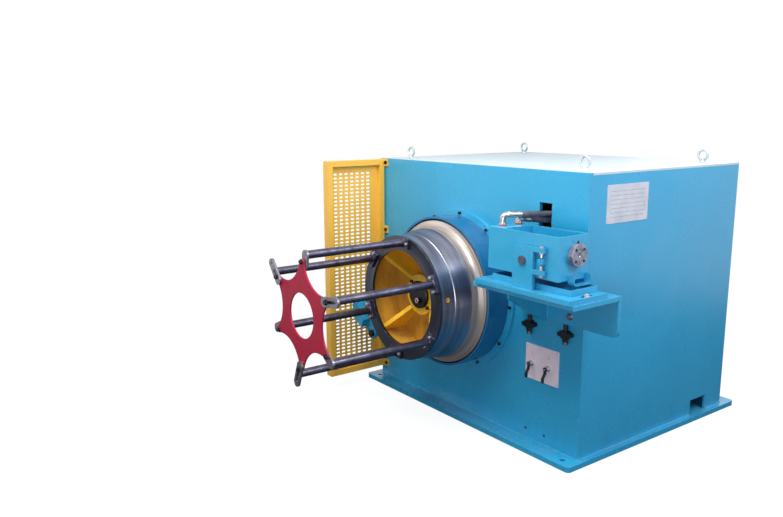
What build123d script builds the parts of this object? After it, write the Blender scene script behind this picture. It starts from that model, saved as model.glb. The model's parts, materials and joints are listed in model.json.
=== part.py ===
"""Single-block wire drawing machine: welded housing, drawing drum with spider collector, die box on a shelf."""
import os
from math import cos, radians, sin

from build123d import *

# Housing, in millimetres. The origin is under the middle of the base plate, the front faces -Y.
housing_width = 1520
housing_depth = 1166
housing_height = 1300
front_thickness = 20
wall_thickness = 12
top_thickness = 10
base_thickness = 25
base_side_margin = 28
base_front_margin = 95
base_corner_radius = 20
anchor_hole_radius = 13
anchor_side_inset = 73
anchor_front_inset = 45

# Openings in the housing walls.
window_width = 74
window_height = 156
window_from_right = 243
window_top_below_roof = 147
cable_port_depth = 136
cable_port_height = 80
cable_port_from_front = 882

# Lifting eye bolts.
eye_side_inset = 130
eye_front_inset = 120
eye_ring_radius = 25
eye_wire_radius = 6
eye_collar_radius = 18
eye_collar_height = 12

# Drum axis and fixed rings round it. Distances forward of the housing front are called reach.
axis_from_left = 687.5
axis_above_base = 652
flange_radius = 417
flange_thickness = 15
collar_radius = 385
collar_wall = 10
collar_reach = 142
running_gap = 9
fit_gap = 0.3

# Spindle and its cartridge.
spindle_radius = 60
spindle_tail = 250
spindle_flange_radius = 104
spindle_flange_thickness = 30
cartridge_radius = 100
cartridge_tail = 180
cartridge_nose = 20

# Drum.
rim_thickness = 20
rim_land = 2
groove_radius = 331
groove_width = 25
flare_steps = 4
disc_thickness = 18
disc_radius = 300
body_length = 90
body_front_radius = 317
band_step = 3
band_length = 89
band_front_radius = 311
drum_wall = 20
front_ring_thickness = 14
front_ring_opening = 241
wire_hole_radius = 9
wire_hole_angle = 8

# Hub inside the drum.
hub_radius = 104
hub_length = 55
hub_bore = 45
cap_radius = 70
cap_length = 17
cap_boss_radius = 14
cap_boss_aside = 13
cap_boss_drop = 25
rib_phase = 46
rib_count = 4
rib_thickness = 22
rib_hub_step = 5
rib_front_step = 4

# Spider collector in front of the drum.
rod_count = 6
rod_phase = 84
rod_circle = 285
rod_radius = 19
foot_width = 88
foot_height = 50
foot_thickness = 12
rod_length = 553
star_thickness = 8
star_phase = 87
star_tip_radius = 257
star_tip_half_width = 15
star_valley_radius = 178
star_hole_radius = 106
lug_thickness = 10
lug_width = 46
lug_inner = 236
lug_outer = 285
link_thickness = 10
link_width = 46
link_tilt = -15
link_inner = -46
link_outer = 46
link_slot_width = 14
link_slot_inner = -30
link_slot_outer = 44

# Guard beside the drum.
guard_reach = 390
guard_foot_gap = 54
guard_top_below_roof = 5
guard_overhang = 11
guard_bar = 32
guard_bar_across = 51
guard_sheet = 3
guard_sheet_inset = 21
guard_columns = 7
guard_rows = 50
guard_slot_length = 24
guard_slot_height = 11
guard_pitch_y = 36.8
guard_pitch_z = 21.6
guard_grid_reach = 216
guard_grid_above_base = 690
guard_lug_width = 78
guard_lug_height = 42
guard_lug_thickness = 8
guard_lug_heights = (69, 886)
guard_top_lug_below_roof = 24

# Press arm between guard and drum.
arm_from_axis = -585
arm_above_base = 416
arm_bar_reach = 280
arm_bar_width = 84
arm_bar_height = 104
arm_bar_slope = 47
arm_plate_reach = 235
arm_plate_thickness = 16
arm_plate_width = 62
arm_plate_length = 136
arm_plate_angle = -50
arm_pivot_radius = 20
arm_pivot_length = 16

# Die box bracket on the front. It and all it carries are placed from a line beside the drum axis.
station_from_axis = 832.5
bracket_right_reach = 191
bracket_width = 550
bracket_height = 181
bracket_above_base = 624
bracket_thickness = 20
bracket_corner_radius = 28
shelf_width = 583
shelf_depth = 298
shelf_thickness = 20
gusset_thickness = 14
gusset_from_right = 199
gusset_toe = 30
jack_positions = (-304, -86)
jack_drop = 47
jack_block_width = 72
jack_block_height = 34
jack_wing_height = 22
jack_block_depth = 32
jack_screw_radius = 10
jack_nut_radius = 15
jack_nut_height = 14
jack_head_radius = 12
jack_head_height = 16

# Slide plate, tray, cradle and die box.
slide_left = -365
slide_width = 546
slide_near = 82
slide_lip = 21
slide_thickness = 22
slide_slot_x = 161
slide_slot_near = 155
slide_slot_far = 228
slide_slot_width = 18
tray_left = -309
tray_width = 445
tray_near = 95
tray_far = 258
tray_height = 26
tray_wall = 5
tray_floor = 6
box_left = -325
box_width = 406
box_depth = 183
box_height = 184
box_above_tray = 25
box_wall = 8
box_floor = 10
holder_width = 92
die_bore_radius = 20
pin_x = -99
pin_below_wire = 36
pin_radius = 15
pin_head_radius = 19
pin_head_height = 8
cradle_thickness = 16
cradle_width = 115
cradle_above_pin = 58
cradle_gap = 5
adjust_x = -1
adjust_below_wire = 30
adjust_gap = 6
adjust_screw_radius = 6
adjust_head_radius = 9
adjust_head_height = 8
adjust_lug_width = 28
adjust_lug_height = 22
ear_height = 20
ear_offset = 47
ear_width = 62
disc_face_radius = 48
disc_face_thickness = 25
disc_face_bore = 10
disc_face_chamfer = 2
wire_line_reach = 173
spout_reach = 160
spout_width = 108
spout_height = 42
spout_length = 34
spout_wall = 4
spout_drop = 20
spout_corner = 18

# Hoses and fittings on the die box. Each hose has its reach at the box, its height above the
# box and its place in the window, measured from the window's middle.
hose_radius = 13
hose_tail = 90
fitting_x = -299
hose_reaches = (212, 114)
hose_rises = (48, 26)
hose_window_x = (10, -14)
hose_window_z = (30, -2)
fitting_base_radius = 17
fitting_base_height = 14
fitting_radius = 11
elbow_radius = 13.5
fitting_mouth = 24
ferrule_radius = 15.5
ferrule_lengths = (66, 34)
coupling_length = 36
coupling_radius = 17

# Valve plate and its two ball valves.
valve_plate_left = -332
valve_plate_width = 204
valve_plate_height = 171
valve_plate_above_base = 308
valve_plate_thickness = 4
valve_positions = (-291, -188)
valve_above_base = 385
valve_nut_radius = 14
valve_nut_length = 8
valve_stem_radius = 9
valve_stem_length = 22
valve_spigot_radius = 5
valve_spigot_length = 9
lever_hub_radius = 11
lever_length = 62
lever_width = 15
lever_thickness = 4
lever_bend = 14

# Places worked out from the sizes above.
base_width = housing_width + 2 * base_side_margin
base_depth = housing_depth + 2 * base_front_margin
roof = base_thickness + housing_height
left_side = -housing_width / 2
right_side = housing_width / 2
front_face = -housing_depth / 2
axis_x = left_side + axis_from_left
axis_z = base_thickness + axis_above_base
station_x = axis_x + station_from_axis
drum_axis = Axis((axis_x, front_face, axis_z), (0, 1, 0))
rim_radius = collar_radius - collar_wall - running_gap
flare_radius = rim_radius - rim_land - groove_radius
disc_reach = collar_reach + flare_radius + groove_width
body_front_reach = disc_reach + body_length
drum_reach = body_front_reach + band_length
star_reach = drum_reach + rod_length
window_x = right_side - window_from_right
window_z = roof - window_top_below_roof - window_height / 2
cable_port_y = front_face + cable_port_from_front + cable_port_depth / 2
cable_port_z = base_thickness + cable_port_height / 2
bracket_top = base_thickness + bracket_above_base + bracket_height
slide_top = bracket_top + slide_thickness
box_bottom = slide_top + tray_height + box_above_tray
box_top = box_bottom + box_height
box_near = slide_near + cradle_gap
box_far = box_near + box_depth
slide_far = box_far + cradle_gap + cradle_thickness + slide_lip
wire_z = axis_z + groove_radius
pin_z = wire_z - pin_below_wire
adjust_z = wire_z - adjust_below_wire


def front(reach):
    """Plane parallel to the housing front; sketches read as (x, z) and extrusions come forward."""
    return Plane.XZ.offset(-front_face + reach)


def across(x):
    """Plane parallel to the side walls; sketches read as (y, z) and extrusions go to the right."""
    return Plane.YZ.offset(x)


def on_circle(radius, angle):
    """Point on a circle round the drum axis, as (x, z)."""
    return (axis_x + radius * cos(radians(angle)), axis_z + radius * sin(radians(angle)))


def radial(reach, angle):
    """Plane parallel to the front with its x direction pointing out from the drum axis at an angle."""
    return Plane(
        origin=(axis_x, front_face - reach, axis_z),
        x_dir=(cos(radians(angle)), 0, sin(radians(angle))),
        z_dir=(0, -1, 0),
    )


def front_cylinder(x, z, reach, radius, length, bore=0):
    """Round piece along the drum direction, starting at a reach and coming forward."""
    with BuildPart() as cylinder:
        with BuildSketch(front(reach)):
            with Locations((x, z)):
                Circle(radius)
                if bore:
                    Circle(bore, mode=Mode.SUBTRACT)
        extrude(amount=length)
    return cylinder.part


def block(x, y, z):
    """Rectangular piece between the low and high values of each pair."""
    with BuildPart() as piece:
        with BuildSketch(Plane.XY.offset(z[0])):
            with Locations(((x[0] + x[1]) / 2, (y[0] + y[1]) / 2)):
                Rectangle(x[1] - x[0], y[1] - y[0])
        extrude(amount=z[1] - z[0])
    return piece.part


def ahead(reach):
    """Y value of a point at a reach in front of the housing."""
    return front_face - reach


os.makedirs("parts", exist_ok=True)

# Base plate with rounded corners and four anchor holes.
with BuildPart() as base_plate:
    with BuildSketch(Plane.XY):
        RectangleRounded(base_width, base_depth, base_corner_radius)
        with GridLocations(
            base_width - 2 * anchor_side_inset, base_depth - 2 * anchor_front_inset, 2, 2
        ):
            Circle(anchor_hole_radius, mode=Mode.SUBTRACT)
    extrude(amount=base_thickness)
base_plate.part.label = "base_plate"
export_step(base_plate.part, "parts/base_plate.step")

# Front plate with the hose window and the hole for the spindle cartridge.
with BuildPart() as front_plate:
    with BuildSketch(front(-front_thickness)):
        with Locations((0, base_thickness + housing_height / 2)):
            Rectangle(housing_width, housing_height)
        with Locations((window_x, window_z)):
            Rectangle(window_width, window_height, mode=Mode.SUBTRACT)
        with Locations((axis_x, axis_z)):
            Circle(cartridge_radius + fit_gap, mode=Mode.SUBTRACT)
    extrude(amount=front_thickness)
front_plate.part.label = "front_plate"
export_step(front_plate.part, "parts/front_plate.step")

side_near = front_face + front_thickness
side_far = housing_depth / 2
side_top = roof - top_thickness
with BuildPart() as left_side_plate:
    with BuildSketch(across(left_side)):
        with Locations(((side_near + side_far) / 2, (base_thickness + side_top) / 2)):
            Rectangle(side_far - side_near, side_top - base_thickness)
    extrude(amount=wall_thickness)
left_side_plate.part.label = "left_side_plate"
export_step(left_side_plate.part, "parts/left_side_plate.step")

with BuildPart() as right_side_plate:
    with BuildSketch(across(right_side - wall_thickness)):
        with Locations(((side_near + side_far) / 2, (base_thickness + side_top) / 2)):
            Rectangle(side_far - side_near, side_top - base_thickness)
        with Locations((cable_port_y, cable_port_z)):
            Rectangle(cable_port_depth, cable_port_height, mode=Mode.SUBTRACT)
    extrude(amount=wall_thickness)
right_side_plate.part.label = "right_side_plate"
export_step(right_side_plate.part, "parts/right_side_plate.step")

back_inside = housing_width / 2 - wall_thickness
back_plate = block((-back_inside, back_inside), (side_far - wall_thickness, side_far), (base_thickness, side_top))
back_plate.label = "back_plate"
export_step(back_plate, "parts/back_plate.step")

top_cover = block((left_side, right_side), (side_near, side_far), (side_top, roof))
top_cover.label = "top_cover"
export_step(top_cover, "parts/top_cover.step")

# Eye bolts stand on the roof near its corners: a collar with a ring on it.
eye_centre = roof + eye_collar_height + eye_ring_radius
with BuildPart() as eye_bolts:
    eye_places = GridLocations(housing_width - 2 * eye_side_inset, housing_depth - 2 * eye_front_inset, 2, 2)
    with BuildSketch(Plane.XY.offset(roof)):
        with eye_places:
            Circle(eye_collar_radius)
    extrude(amount=eye_collar_height)
    for place in eye_places:
        ring_middle = Vector(place.position.X, place.position.Y, eye_centre)
        with BuildSketch(Plane(origin=ring_middle, x_dir=(1, 0, 0), z_dir=(0, 0, 1))):
            with Locations((eye_ring_radius, 0)):
                RegularPolygon(eye_wire_radius, 6)
        revolve(axis=Axis(ring_middle, (0, 1, 0)))
eye_bolts.part.label = "eye_bolts"
export_step(eye_bolts.part, "parts/eye_bolts.step")

# Fixed flange and collar round the drum, and the cartridge that carries the spindle.
flange_plate = front_cylinder(axis_x, axis_z, 0, flange_radius, flange_thickness, cartridge_radius + fit_gap)
flange_plate.label = "flange_plate"
export_step(flange_plate, "parts/flange_plate.step")

collar_ring = front_cylinder(
    axis_x, axis_z, flange_thickness, collar_radius, collar_reach - flange_thickness, collar_radius - collar_wall
)
collar_ring.label = "collar_ring"
export_step(collar_ring, "parts/collar_ring.step")

with BuildPart() as spindle_cartridge:
    with BuildSketch(front(-cartridge_tail)):
        with Locations((axis_x, axis_z)):
            Circle(cartridge_radius)
            Circle(spindle_radius + fit_gap, mode=Mode.SUBTRACT)
    extrude(amount=cartridge_tail + flange_thickness + cartridge_nose)
spindle_cartridge.part.label = "spindle_cartridge"
export_step(spindle_cartridge.part, "parts/spindle_cartridge.step")

# Spindle with the flange that the drum disc bolts to.
disc_back_reach = disc_reach - disc_thickness
spindle_flange_reach = disc_back_reach - spindle_flange_thickness
with BuildPart() as spindle:
    with BuildSketch(front(-spindle_tail)):
        with Locations((axis_x, axis_z)):
            Circle(spindle_radius)
    extrude(amount=spindle_tail + spindle_flange_reach)
    with BuildSketch(front(spindle_flange_reach)):
        with Locations((axis_x, axis_z)):
            Circle(spindle_flange_radius)
    extrude(amount=spindle_flange_thickness)
spindle.part.label = "spindle"
export_step(spindle.part, "parts/spindle.step")

# Drum profiles are drawn as (radius, reach) in this plane and turned round the axis.
profile_plane = Plane(origin=(axis_x, front_face, axis_z), x_dir=(1, 0, 0), z_dir=(0, 0, -1))


def flare_point(angle):
    """Point on the concave flare, from 0 degrees at the rim to 90 degrees at the groove."""
    return (
        groove_radius + flare_radius * (1 - sin(radians(angle))),
        collar_reach + flare_radius * (1 - cos(radians(angle))),
    )


# Bright ring where the wire runs on: a rim, a concave flare and the groove floor.
with BuildPart() as wire_ring:
    with BuildSketch(profile_plane):
        with BuildLine():
            Polyline(
                (groove_radius, disc_reach),
                (disc_radius, disc_reach),
                (disc_radius, collar_reach - rim_thickness),
                (rim_radius, collar_reach - rim_thickness),
                (rim_radius, collar_reach),
                *[flare_point(step * 90 / flare_steps) for step in range(flare_steps + 1)],
                close=True,
            )
        make_face()
    revolve(axis=drum_axis)
wire_ring.part.label = "wire_ring"
export_step(wire_ring.part, "parts/wire_ring.step")

# Tapered drum body with its step and front band.
shell_inner = band_front_radius - drum_wall
shell_front_reach = drum_reach - front_ring_thickness
with BuildPart() as drum_shell:
    with BuildSketch(profile_plane):
        with BuildLine():
            Polyline(
                (groove_radius, disc_reach),
                (body_front_radius, body_front_reach),
                (body_front_radius - band_step, body_front_reach + band_step),
                (band_front_radius, shell_front_reach),
                (shell_inner, shell_front_reach),
                (shell_inner, disc_reach),
                close=True,
            )
        make_face()
    revolve(axis=drum_axis)
    hole_plane = Plane(
        origin=(axis_x, ahead(body_front_reach + band_length / 2), axis_z),
        x_dir=(0, 1, 0),
        z_dir=(cos(radians(wire_hole_angle)), 0, sin(radians(wire_hole_angle))),
    )
    with BuildSketch(hole_plane.offset(shell_inner / 2)):
        Circle(wire_hole_radius)
    extrude(amount=groove_radius, mode=Mode.SUBTRACT)
drum_shell.part.label = "drum_shell"
export_step(drum_shell.part, "parts/drum_shell.step")

drum_front_ring = front_cylinder(
    axis_x, axis_z, shell_front_reach, band_front_radius, front_ring_thickness, front_ring_opening
)
drum_front_ring.label = "drum_front_ring"
export_step(drum_front_ring, "parts/drum_front_ring.step")

drum_disc = front_cylinder(axis_x, axis_z, disc_back_reach, disc_radius - fit_gap, disc_thickness)
drum_disc.label = "drum_disc"
export_step(drum_disc, "parts/drum_disc.step")

drum_hub = front_cylinder(axis_x, axis_z, disc_reach, hub_radius, hub_length, hub_bore)
drum_hub.label = "drum_hub"
export_step(drum_hub, "parts/drum_hub.step")

# Clamp cap on the hub, with a small off-centre boss.
cap_reach = disc_reach + hub_length
with BuildPart() as hub_cap:
    with BuildSketch(front(cap_reach)):
        with Locations((axis_x, axis_z)):
            Circle(cap_radius)
    extrude(amount=cap_length)
    chamfer(hub_cap.edges().filter_by(GeomType.CIRCLE).sort_by(Axis.Y)[0], length=cap_length / 4)
    with BuildSketch(front(cap_reach + cap_length)):
        with Locations((axis_x + cap_boss_aside, axis_z - cap_boss_drop)):
            Circle(cap_boss_radius)
    extrude(amount=cap_boss_radius)
hub_cap.part.label = "hub_cap"
export_step(hub_cap.part, "parts/hub_cap.step")

# Ribs stand on the disc between hub and drum wall, rising towards the front ring.
rib_rear_reach = disc_reach + hub_length - rib_hub_step
rib_front_reach = shell_front_reach - rib_front_step
with BuildPart() as hub_ribs:
    for rib in range(rib_count):
        rib_angle = rib_phase + rib * 360 / rib_count
        rib_plane = Plane(
            origin=(axis_x, front_face, axis_z),
            x_dir=(cos(radians(rib_angle)), 0, sin(radians(rib_angle))),
            z_dir=(-sin(radians(rib_angle)), 0, cos(radians(rib_angle))),
        )
        with BuildSketch(rib_plane):
            with BuildLine():
                Polyline(
                    (hub_radius + fit_gap, -disc_reach),
                    (shell_inner - fit_gap, -disc_reach),
                    (shell_inner - fit_gap, -rib_front_reach),
                    (hub_radius + fit_gap, -rib_rear_reach),
                    close=True,
                )
            make_face()
        extrude(amount=rib_thickness / 2, both=True)
hub_ribs.part.label = "hub_ribs"
export_step(hub_ribs.part, "parts/hub_ribs.step")

# Six rods, each welded to a foot on the front ring. Every second one ends behind a lug,
# the others reach the slotted links in front of the star.
link_reach = star_reach + star_thickness
lug_reach = star_reach - lug_thickness
with BuildPart() as collector_rods:
    for rod in range(rod_count):
        rod_angle = rod_phase + rod * 360 / rod_count
        rod_end = lug_reach if rod % 2 == 0 else link_reach
        with BuildSketch(radial(drum_reach, rod_angle)):
            with Locations((rod_circle, 0)):
                Rectangle(foot_height, foot_width)
        extrude(amount=foot_thickness)
        with BuildSketch(front(drum_reach + foot_thickness)):
            with Locations(on_circle(rod_circle, rod_angle)):
                Circle(rod_radius)
        extrude(amount=rod_end - drum_reach - foot_thickness)
collector_rods.part.label = "collector_rods"
export_step(collector_rods.part, "parts/collector_rods.step")

# Plain lugs behind the star and slotted links in front of it join the rods to the star.
with BuildPart() as rod_links:
    for rod in range(0, rod_count, 2):
        rod_angle = rod_phase + rod * 360 / rod_count
        with BuildSketch(radial(lug_reach, rod_angle)):
            with Locations(((lug_inner + lug_outer) / 2, 0)):
                SlotCenterToCenter(lug_outer - lug_inner, lug_width)
        extrude(amount=lug_thickness)
    for rod in range(1, rod_count, 2):
        rod_angle = rod_phase + rod * 360 / rod_count
        with BuildSketch(radial(link_reach, rod_angle)):
            with Locations(Location((rod_circle, 0, 0), (0, 0, link_tilt))):
                with Locations(((link_inner + link_outer) / 2, 0)):
                    SlotCenterToCenter(link_outer - link_inner, link_width)
                with Locations(((link_slot_inner + link_slot_outer) / 2, 0)):
                    SlotCenterToCenter(link_slot_outer - link_slot_inner, link_slot_width, mode=Mode.SUBTRACT)
        extrude(amount=link_thickness)
rod_links.part.label = "rod_links"
export_step(rod_links.part, "parts/rod_links.step")


def star_point(radius, angle, aside=0):
    """Point of the star outline in its own plane, a distance aside of the ray at an angle."""
    return (
        radius * cos(radians(angle)) - aside * sin(radians(angle)),
        radius * sin(radians(angle)) + aside * cos(radians(angle)),
    )


# Star plate: narrow tips joined by concave scallops, round hole in the middle.
with BuildPart() as star_plate:
    with BuildSketch(radial(star_reach, star_phase)):
        with BuildLine():
            for tip in range(rod_count):
                tip_angle = tip * 360 / rod_count
                next_angle = tip_angle + 360 / rod_count
                tip_end = star_point(star_tip_radius, tip_angle, star_tip_half_width)
                ThreePointArc(
                    star_point(star_tip_radius, tip_angle, -star_tip_half_width),
                    star_point(star_tip_radius + star_tip_half_width / 2, tip_angle),
                    tip_end,
                )
                ThreePointArc(
                    tip_end,
                    star_point(star_valley_radius, tip_angle + 180 / rod_count),
                    star_point(star_tip_radius, next_angle, -star_tip_half_width),
                )
        make_face()
        Circle(star_hole_radius, mode=Mode.SUBTRACT)
    extrude(amount=star_thickness)
star_plate.part.label = "star_plate"
export_step(star_plate.part, "parts/star_plate.step")

# Guard: an upright frame in line with the left side, welded to three lugs on the front.
guard_bottom = base_thickness + guard_foot_gap
guard_top = roof - guard_top_below_roof
guard_middle = (ahead(guard_lug_thickness + guard_reach / 2), (guard_bottom + guard_top) / 2)
guard_width = guard_reach - guard_lug_thickness
guard_left = left_side - guard_overhang
with BuildPart() as guard_frame:
    with BuildSketch(across(guard_left)):
        with Locations((ahead(guard_lug_thickness + guard_width / 2), guard_middle[1])):
            Rectangle(guard_width, guard_top - guard_bottom)
            Rectangle(guard_width - 2 * guard_bar, guard_top - guard_bottom - 2 * guard_bar, mode=Mode.SUBTRACT)
    extrude(amount=guard_bar_across)
    for height in (*guard_lug_heights, housing_height - guard_top_lug_below_roof):
        with BuildSketch(front(0)):
            with Locations((guard_left + guard_lug_width / 2, base_thickness + height)):
                Rectangle(guard_lug_width, guard_lug_height)
        extrude(amount=guard_lug_thickness)
guard_frame.part.label = "guard_frame"
export_step(guard_frame.part, "parts/guard_frame.step")

# Slotted sheet of the guard, set in the frame.
with BuildPart() as guard_sheet_panel:
    with BuildSketch(across(guard_left + guard_sheet_inset)):
        with Locations((ahead(guard_lug_thickness + guard_width / 2), guard_middle[1])):
            Rectangle(guard_width - 2 * guard_bar, guard_top - guard_bottom - 2 * guard_bar)
        with Locations((ahead(guard_grid_reach), base_thickness + guard_grid_above_base)):
            with GridLocations(guard_pitch_y, guard_pitch_z, guard_columns, guard_rows):
                Rectangle(guard_slot_length, guard_slot_height, mode=Mode.SUBTRACT)
    extrude(amount=guard_sheet)
guard_sheet_panel.part.label = "guard_mesh"
export_step(guard_sheet_panel.part, "parts/guard_mesh.step")

# Press arm: a bar with a slanted foot stands out from the front and carries a plate arm on its right side.
arm_left = axis_x + arm_from_axis
arm_low = base_thickness + arm_above_base
arm_top = (arm_left + arm_bar_width / 2, arm_low + arm_bar_height / 4)
arm_end = (
    arm_top[0] + arm_plate_length * cos(radians(arm_plate_angle)),
    arm_top[1] + arm_plate_length * sin(radians(arm_plate_angle)),
)
with BuildPart() as press_arm:
    with BuildSketch(front(0)):
        with BuildLine():
            Polyline(
                (arm_left, arm_low),
                (arm_left + arm_bar_width, arm_low - arm_bar_slope),
                (arm_left + arm_bar_width + arm_bar_slope / 2, arm_low),
                (arm_left + arm_bar_width / 2, arm_low + arm_bar_height),
                (arm_left, arm_low + arm_bar_height),
                close=True,
            )
        make_face()
    extrude(amount=arm_bar_reach)
    with BuildSketch(front(arm_plate_reach - arm_plate_thickness)):
        with Locations(((arm_top[0] + arm_end[0]) / 2, (arm_top[1] + arm_end[1]) / 2)):
            SlotCenterToCenter(arm_plate_length, arm_plate_width, rotation=arm_plate_angle)
    extrude(amount=arm_plate_thickness)
press_arm.part.label = "press_arm"
export_step(press_arm.part, "parts/press_arm.step")

press_pivot = front_cylinder(*arm_end, arm_plate_reach, arm_pivot_radius, arm_pivot_length)
press_pivot.label = "press_pivot"
export_step(press_pivot, "parts/press_pivot.step")

# Bracket plate and shelf that carry the die box, with a gusset under the shelf.
bracket_right = station_x + bracket_right_reach
bracket_bottom = base_thickness + bracket_above_base
shelf_bottom = bracket_top - shelf_thickness
with BuildPart() as bracket_plate:
    with BuildSketch(front(0)):
        with Locations((bracket_right - bracket_width / 2, (bracket_bottom + shelf_bottom) / 2)):
            Rectangle(bracket_width, shelf_bottom - bracket_bottom)
    extrude(amount=bracket_thickness)
    low_right = bracket_plate.edges().filter_by(Axis.Y).group_by(Axis.Z)[0].sort_by(Axis.X)[-1]
    fillet(low_right, radius=bracket_corner_radius)
bracket_plate.part.label = "bracket_plate"
export_step(bracket_plate.part, "parts/bracket_plate.step")

shelf_plate = block(
    (bracket_right - shelf_width, bracket_right), (ahead(shelf_depth), front_face), (shelf_bottom, bracket_top)
)
shelf_plate.label = "shelf_plate"
export_step(shelf_plate, "parts/shelf_plate.step")

gusset_x = station_x - gusset_from_right
with BuildPart() as shelf_gusset:
    with BuildSketch(across(gusset_x - gusset_thickness / 2)):
        with BuildLine():
            Polyline(
                (ahead(bracket_thickness), shelf_bottom),
                (ahead(shelf_depth - gusset_toe), shelf_bottom),
                (ahead(shelf_depth - gusset_toe), shelf_bottom - gusset_toe),
                (ahead(bracket_thickness + gusset_toe), bracket_bottom),
                (ahead(bracket_thickness), bracket_bottom),
                close=True,
            )
        make_face()
    extrude(amount=gusset_thickness)
shelf_gusset.part.label = "shelf_gusset"
export_step(shelf_gusset.part, "parts/shelf_gusset.step")

# Jack screws: a winged block bolted to the front under the bracket plate, with a screw against its edge.
jack_z = bracket_bottom - jack_drop
with BuildPart() as jack_blocks:
    for jack in jack_positions:
        with BuildSketch(front(0)):
            with Locations((station_x + jack, jack_z)):
                SlotOverall(jack_block_width, jack_wing_height)
                Rectangle(jack_block_height, jack_block_height)
        extrude(amount=jack_block_depth)
    for jack in jack_positions:
        with BuildSketch(Plane.XY.offset(jack_z - jack_block_height)):
            with Locations((station_x + jack, ahead(jack_block_depth / 2))):
                Circle(jack_screw_radius + fit_gap)
        extrude(amount=2 * jack_block_height, mode=Mode.SUBTRACT)
jack_blocks.part.label = "jack_blocks"
export_step(jack_blocks.part, "parts/jack_blocks.step")

jack_low = jack_z - jack_block_height / 2
with BuildPart() as jack_screws:
    for jack in jack_positions:
        jack_place = (station_x + jack, ahead(jack_block_depth / 2))
        with BuildSketch(Plane.XY.offset(jack_low - jack_nut_height - jack_head_height)):
            with Locations(jack_place):
                Circle(jack_head_radius)
        extrude(amount=jack_head_height)
        with BuildSketch(Plane.XY.offset(jack_low - jack_nut_height)):
            with Locations(jack_place):
                RegularPolygon(jack_nut_radius, 6)
        extrude(amount=jack_nut_height)
        with BuildSketch(Plane.XY.offset(jack_low)):
            with Locations(jack_place):
                Circle(jack_screw_radius)
        extrude(amount=bracket_bottom - jack_low)
jack_screws.part.label = "jack_screws"
export_step(jack_screws.part, "parts/jack_screws.step")

# Slide plate on the shelf, with a slot for its clamp bolt.
slide_x = station_x + slide_left + slide_width / 2
with BuildPart() as slide_plate:
    with BuildSketch(Plane.XY.offset(bracket_top)):
        with Locations((slide_x, ahead((slide_near + slide_far) / 2))):
            Rectangle(slide_width, slide_far - slide_near)
        with Locations((station_x + slide_slot_x, ahead((slide_slot_near + slide_slot_far) / 2))):
            SlotOverall(slide_slot_far - slide_slot_near, slide_slot_width, rotation=90, mode=Mode.SUBTRACT)
    extrude(amount=slide_thickness)
slide_plate.part.label = "slide_plate"
export_step(slide_plate.part, "parts/slide_plate.step")

# Drip tray on the slide plate, open at the top.
tray_x = station_x + tray_left + tray_width / 2
with BuildPart() as drip_tray:
    with BuildSketch(Plane.XY.offset(slide_top)):
        with Locations((tray_x, ahead((tray_near + tray_far) / 2))):
            Rectangle(tray_width, tray_far - tray_near)
    extrude(amount=tray_height)
    with BuildSketch(Plane.XY.offset(slide_top + tray_floor)):
        with Locations((tray_x, ahead((tray_near + tray_far) / 2))):
            Rectangle(tray_width - 2 * tray_wall, tray_far - tray_near - 2 * tray_wall)
    extrude(amount=tray_height, mode=Mode.SUBTRACT)
drip_tray.part.label = "drip_tray"
export_step(drip_tray.part, "parts/drip_tray.step")

# Cradle uprights carry the die box between them. The front one has two ears for the adjusting screws.
cradle_x = station_x + pin_x
cradle_top = pin_z + cradle_above_pin
cradle_front_reach = box_far + cradle_gap
cradle_back_reach = slide_near - cradle_thickness
adjust_x_place = station_x + adjust_x
ear_right = cradle_x + cradle_width / 2 + ear_width
with BuildPart() as cradle:
    with BuildSketch(front(cradle_front_reach)):
        with Locations((cradle_x, (slide_top + cradle_top) / 2)):
            Rectangle(cradle_width, cradle_top - slide_top)
        with Locations(
            ((cradle_x + ear_right) / 2, adjust_z + ear_offset),
            ((cradle_x + ear_right) / 2, adjust_z - ear_offset),
        ):
            Rectangle(ear_right - cradle_x, ear_height)
    extrude(amount=cradle_thickness)
    with BuildSketch(Plane.XY.offset(adjust_z - ear_offset - ear_height)):
        with Locations((adjust_x_place, ahead(cradle_front_reach + cradle_thickness / 2))):
            Circle(adjust_screw_radius + fit_gap)
    extrude(amount=2 * (ear_offset + ear_height), mode=Mode.SUBTRACT)
    with BuildSketch(front(cradle_back_reach)):
        with Locations((cradle_x, (bracket_top + cradle_top) / 2)):
            Rectangle(cradle_width, cradle_top - bracket_top)
    extrude(amount=cradle_thickness)
    with BuildSketch(front(0)):
        with Locations((cradle_x, pin_z)):
            Circle(pin_radius + fit_gap)
    extrude(amount=cradle_front_reach + cradle_thickness, mode=Mode.SUBTRACT)
cradle.part.label = "cradle"
export_step(cradle.part, "parts/cradle.step")

# Pivot pins reach through the uprights into the box walls, one from each side.
pin_length = cradle_thickness + cradle_gap + box_wall
with BuildPart() as pivot_pins:
    with BuildSketch(front(box_far - box_wall)):
        with Locations((cradle_x, pin_z)):
            Circle(pin_radius)
    extrude(amount=pin_length)
    with BuildSketch(front(cradle_front_reach + cradle_thickness)):
        with Locations((cradle_x, pin_z)):
            Circle(pin_head_radius)
    extrude(amount=pin_head_height)
    with BuildSketch(front(cradle_back_reach)):
        with Locations((cradle_x, pin_z)):
            Circle(pin_radius)
    extrude(amount=pin_length)
    with BuildSketch(front(cradle_back_reach - pin_head_height)):
        with Locations((cradle_x, pin_z)):
            Circle(pin_head_radius)
    extrude(amount=pin_head_height)
pivot_pins.part.label = "pivot_pins"
export_step(pivot_pins.part, "parts/pivot_pins.step")

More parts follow.
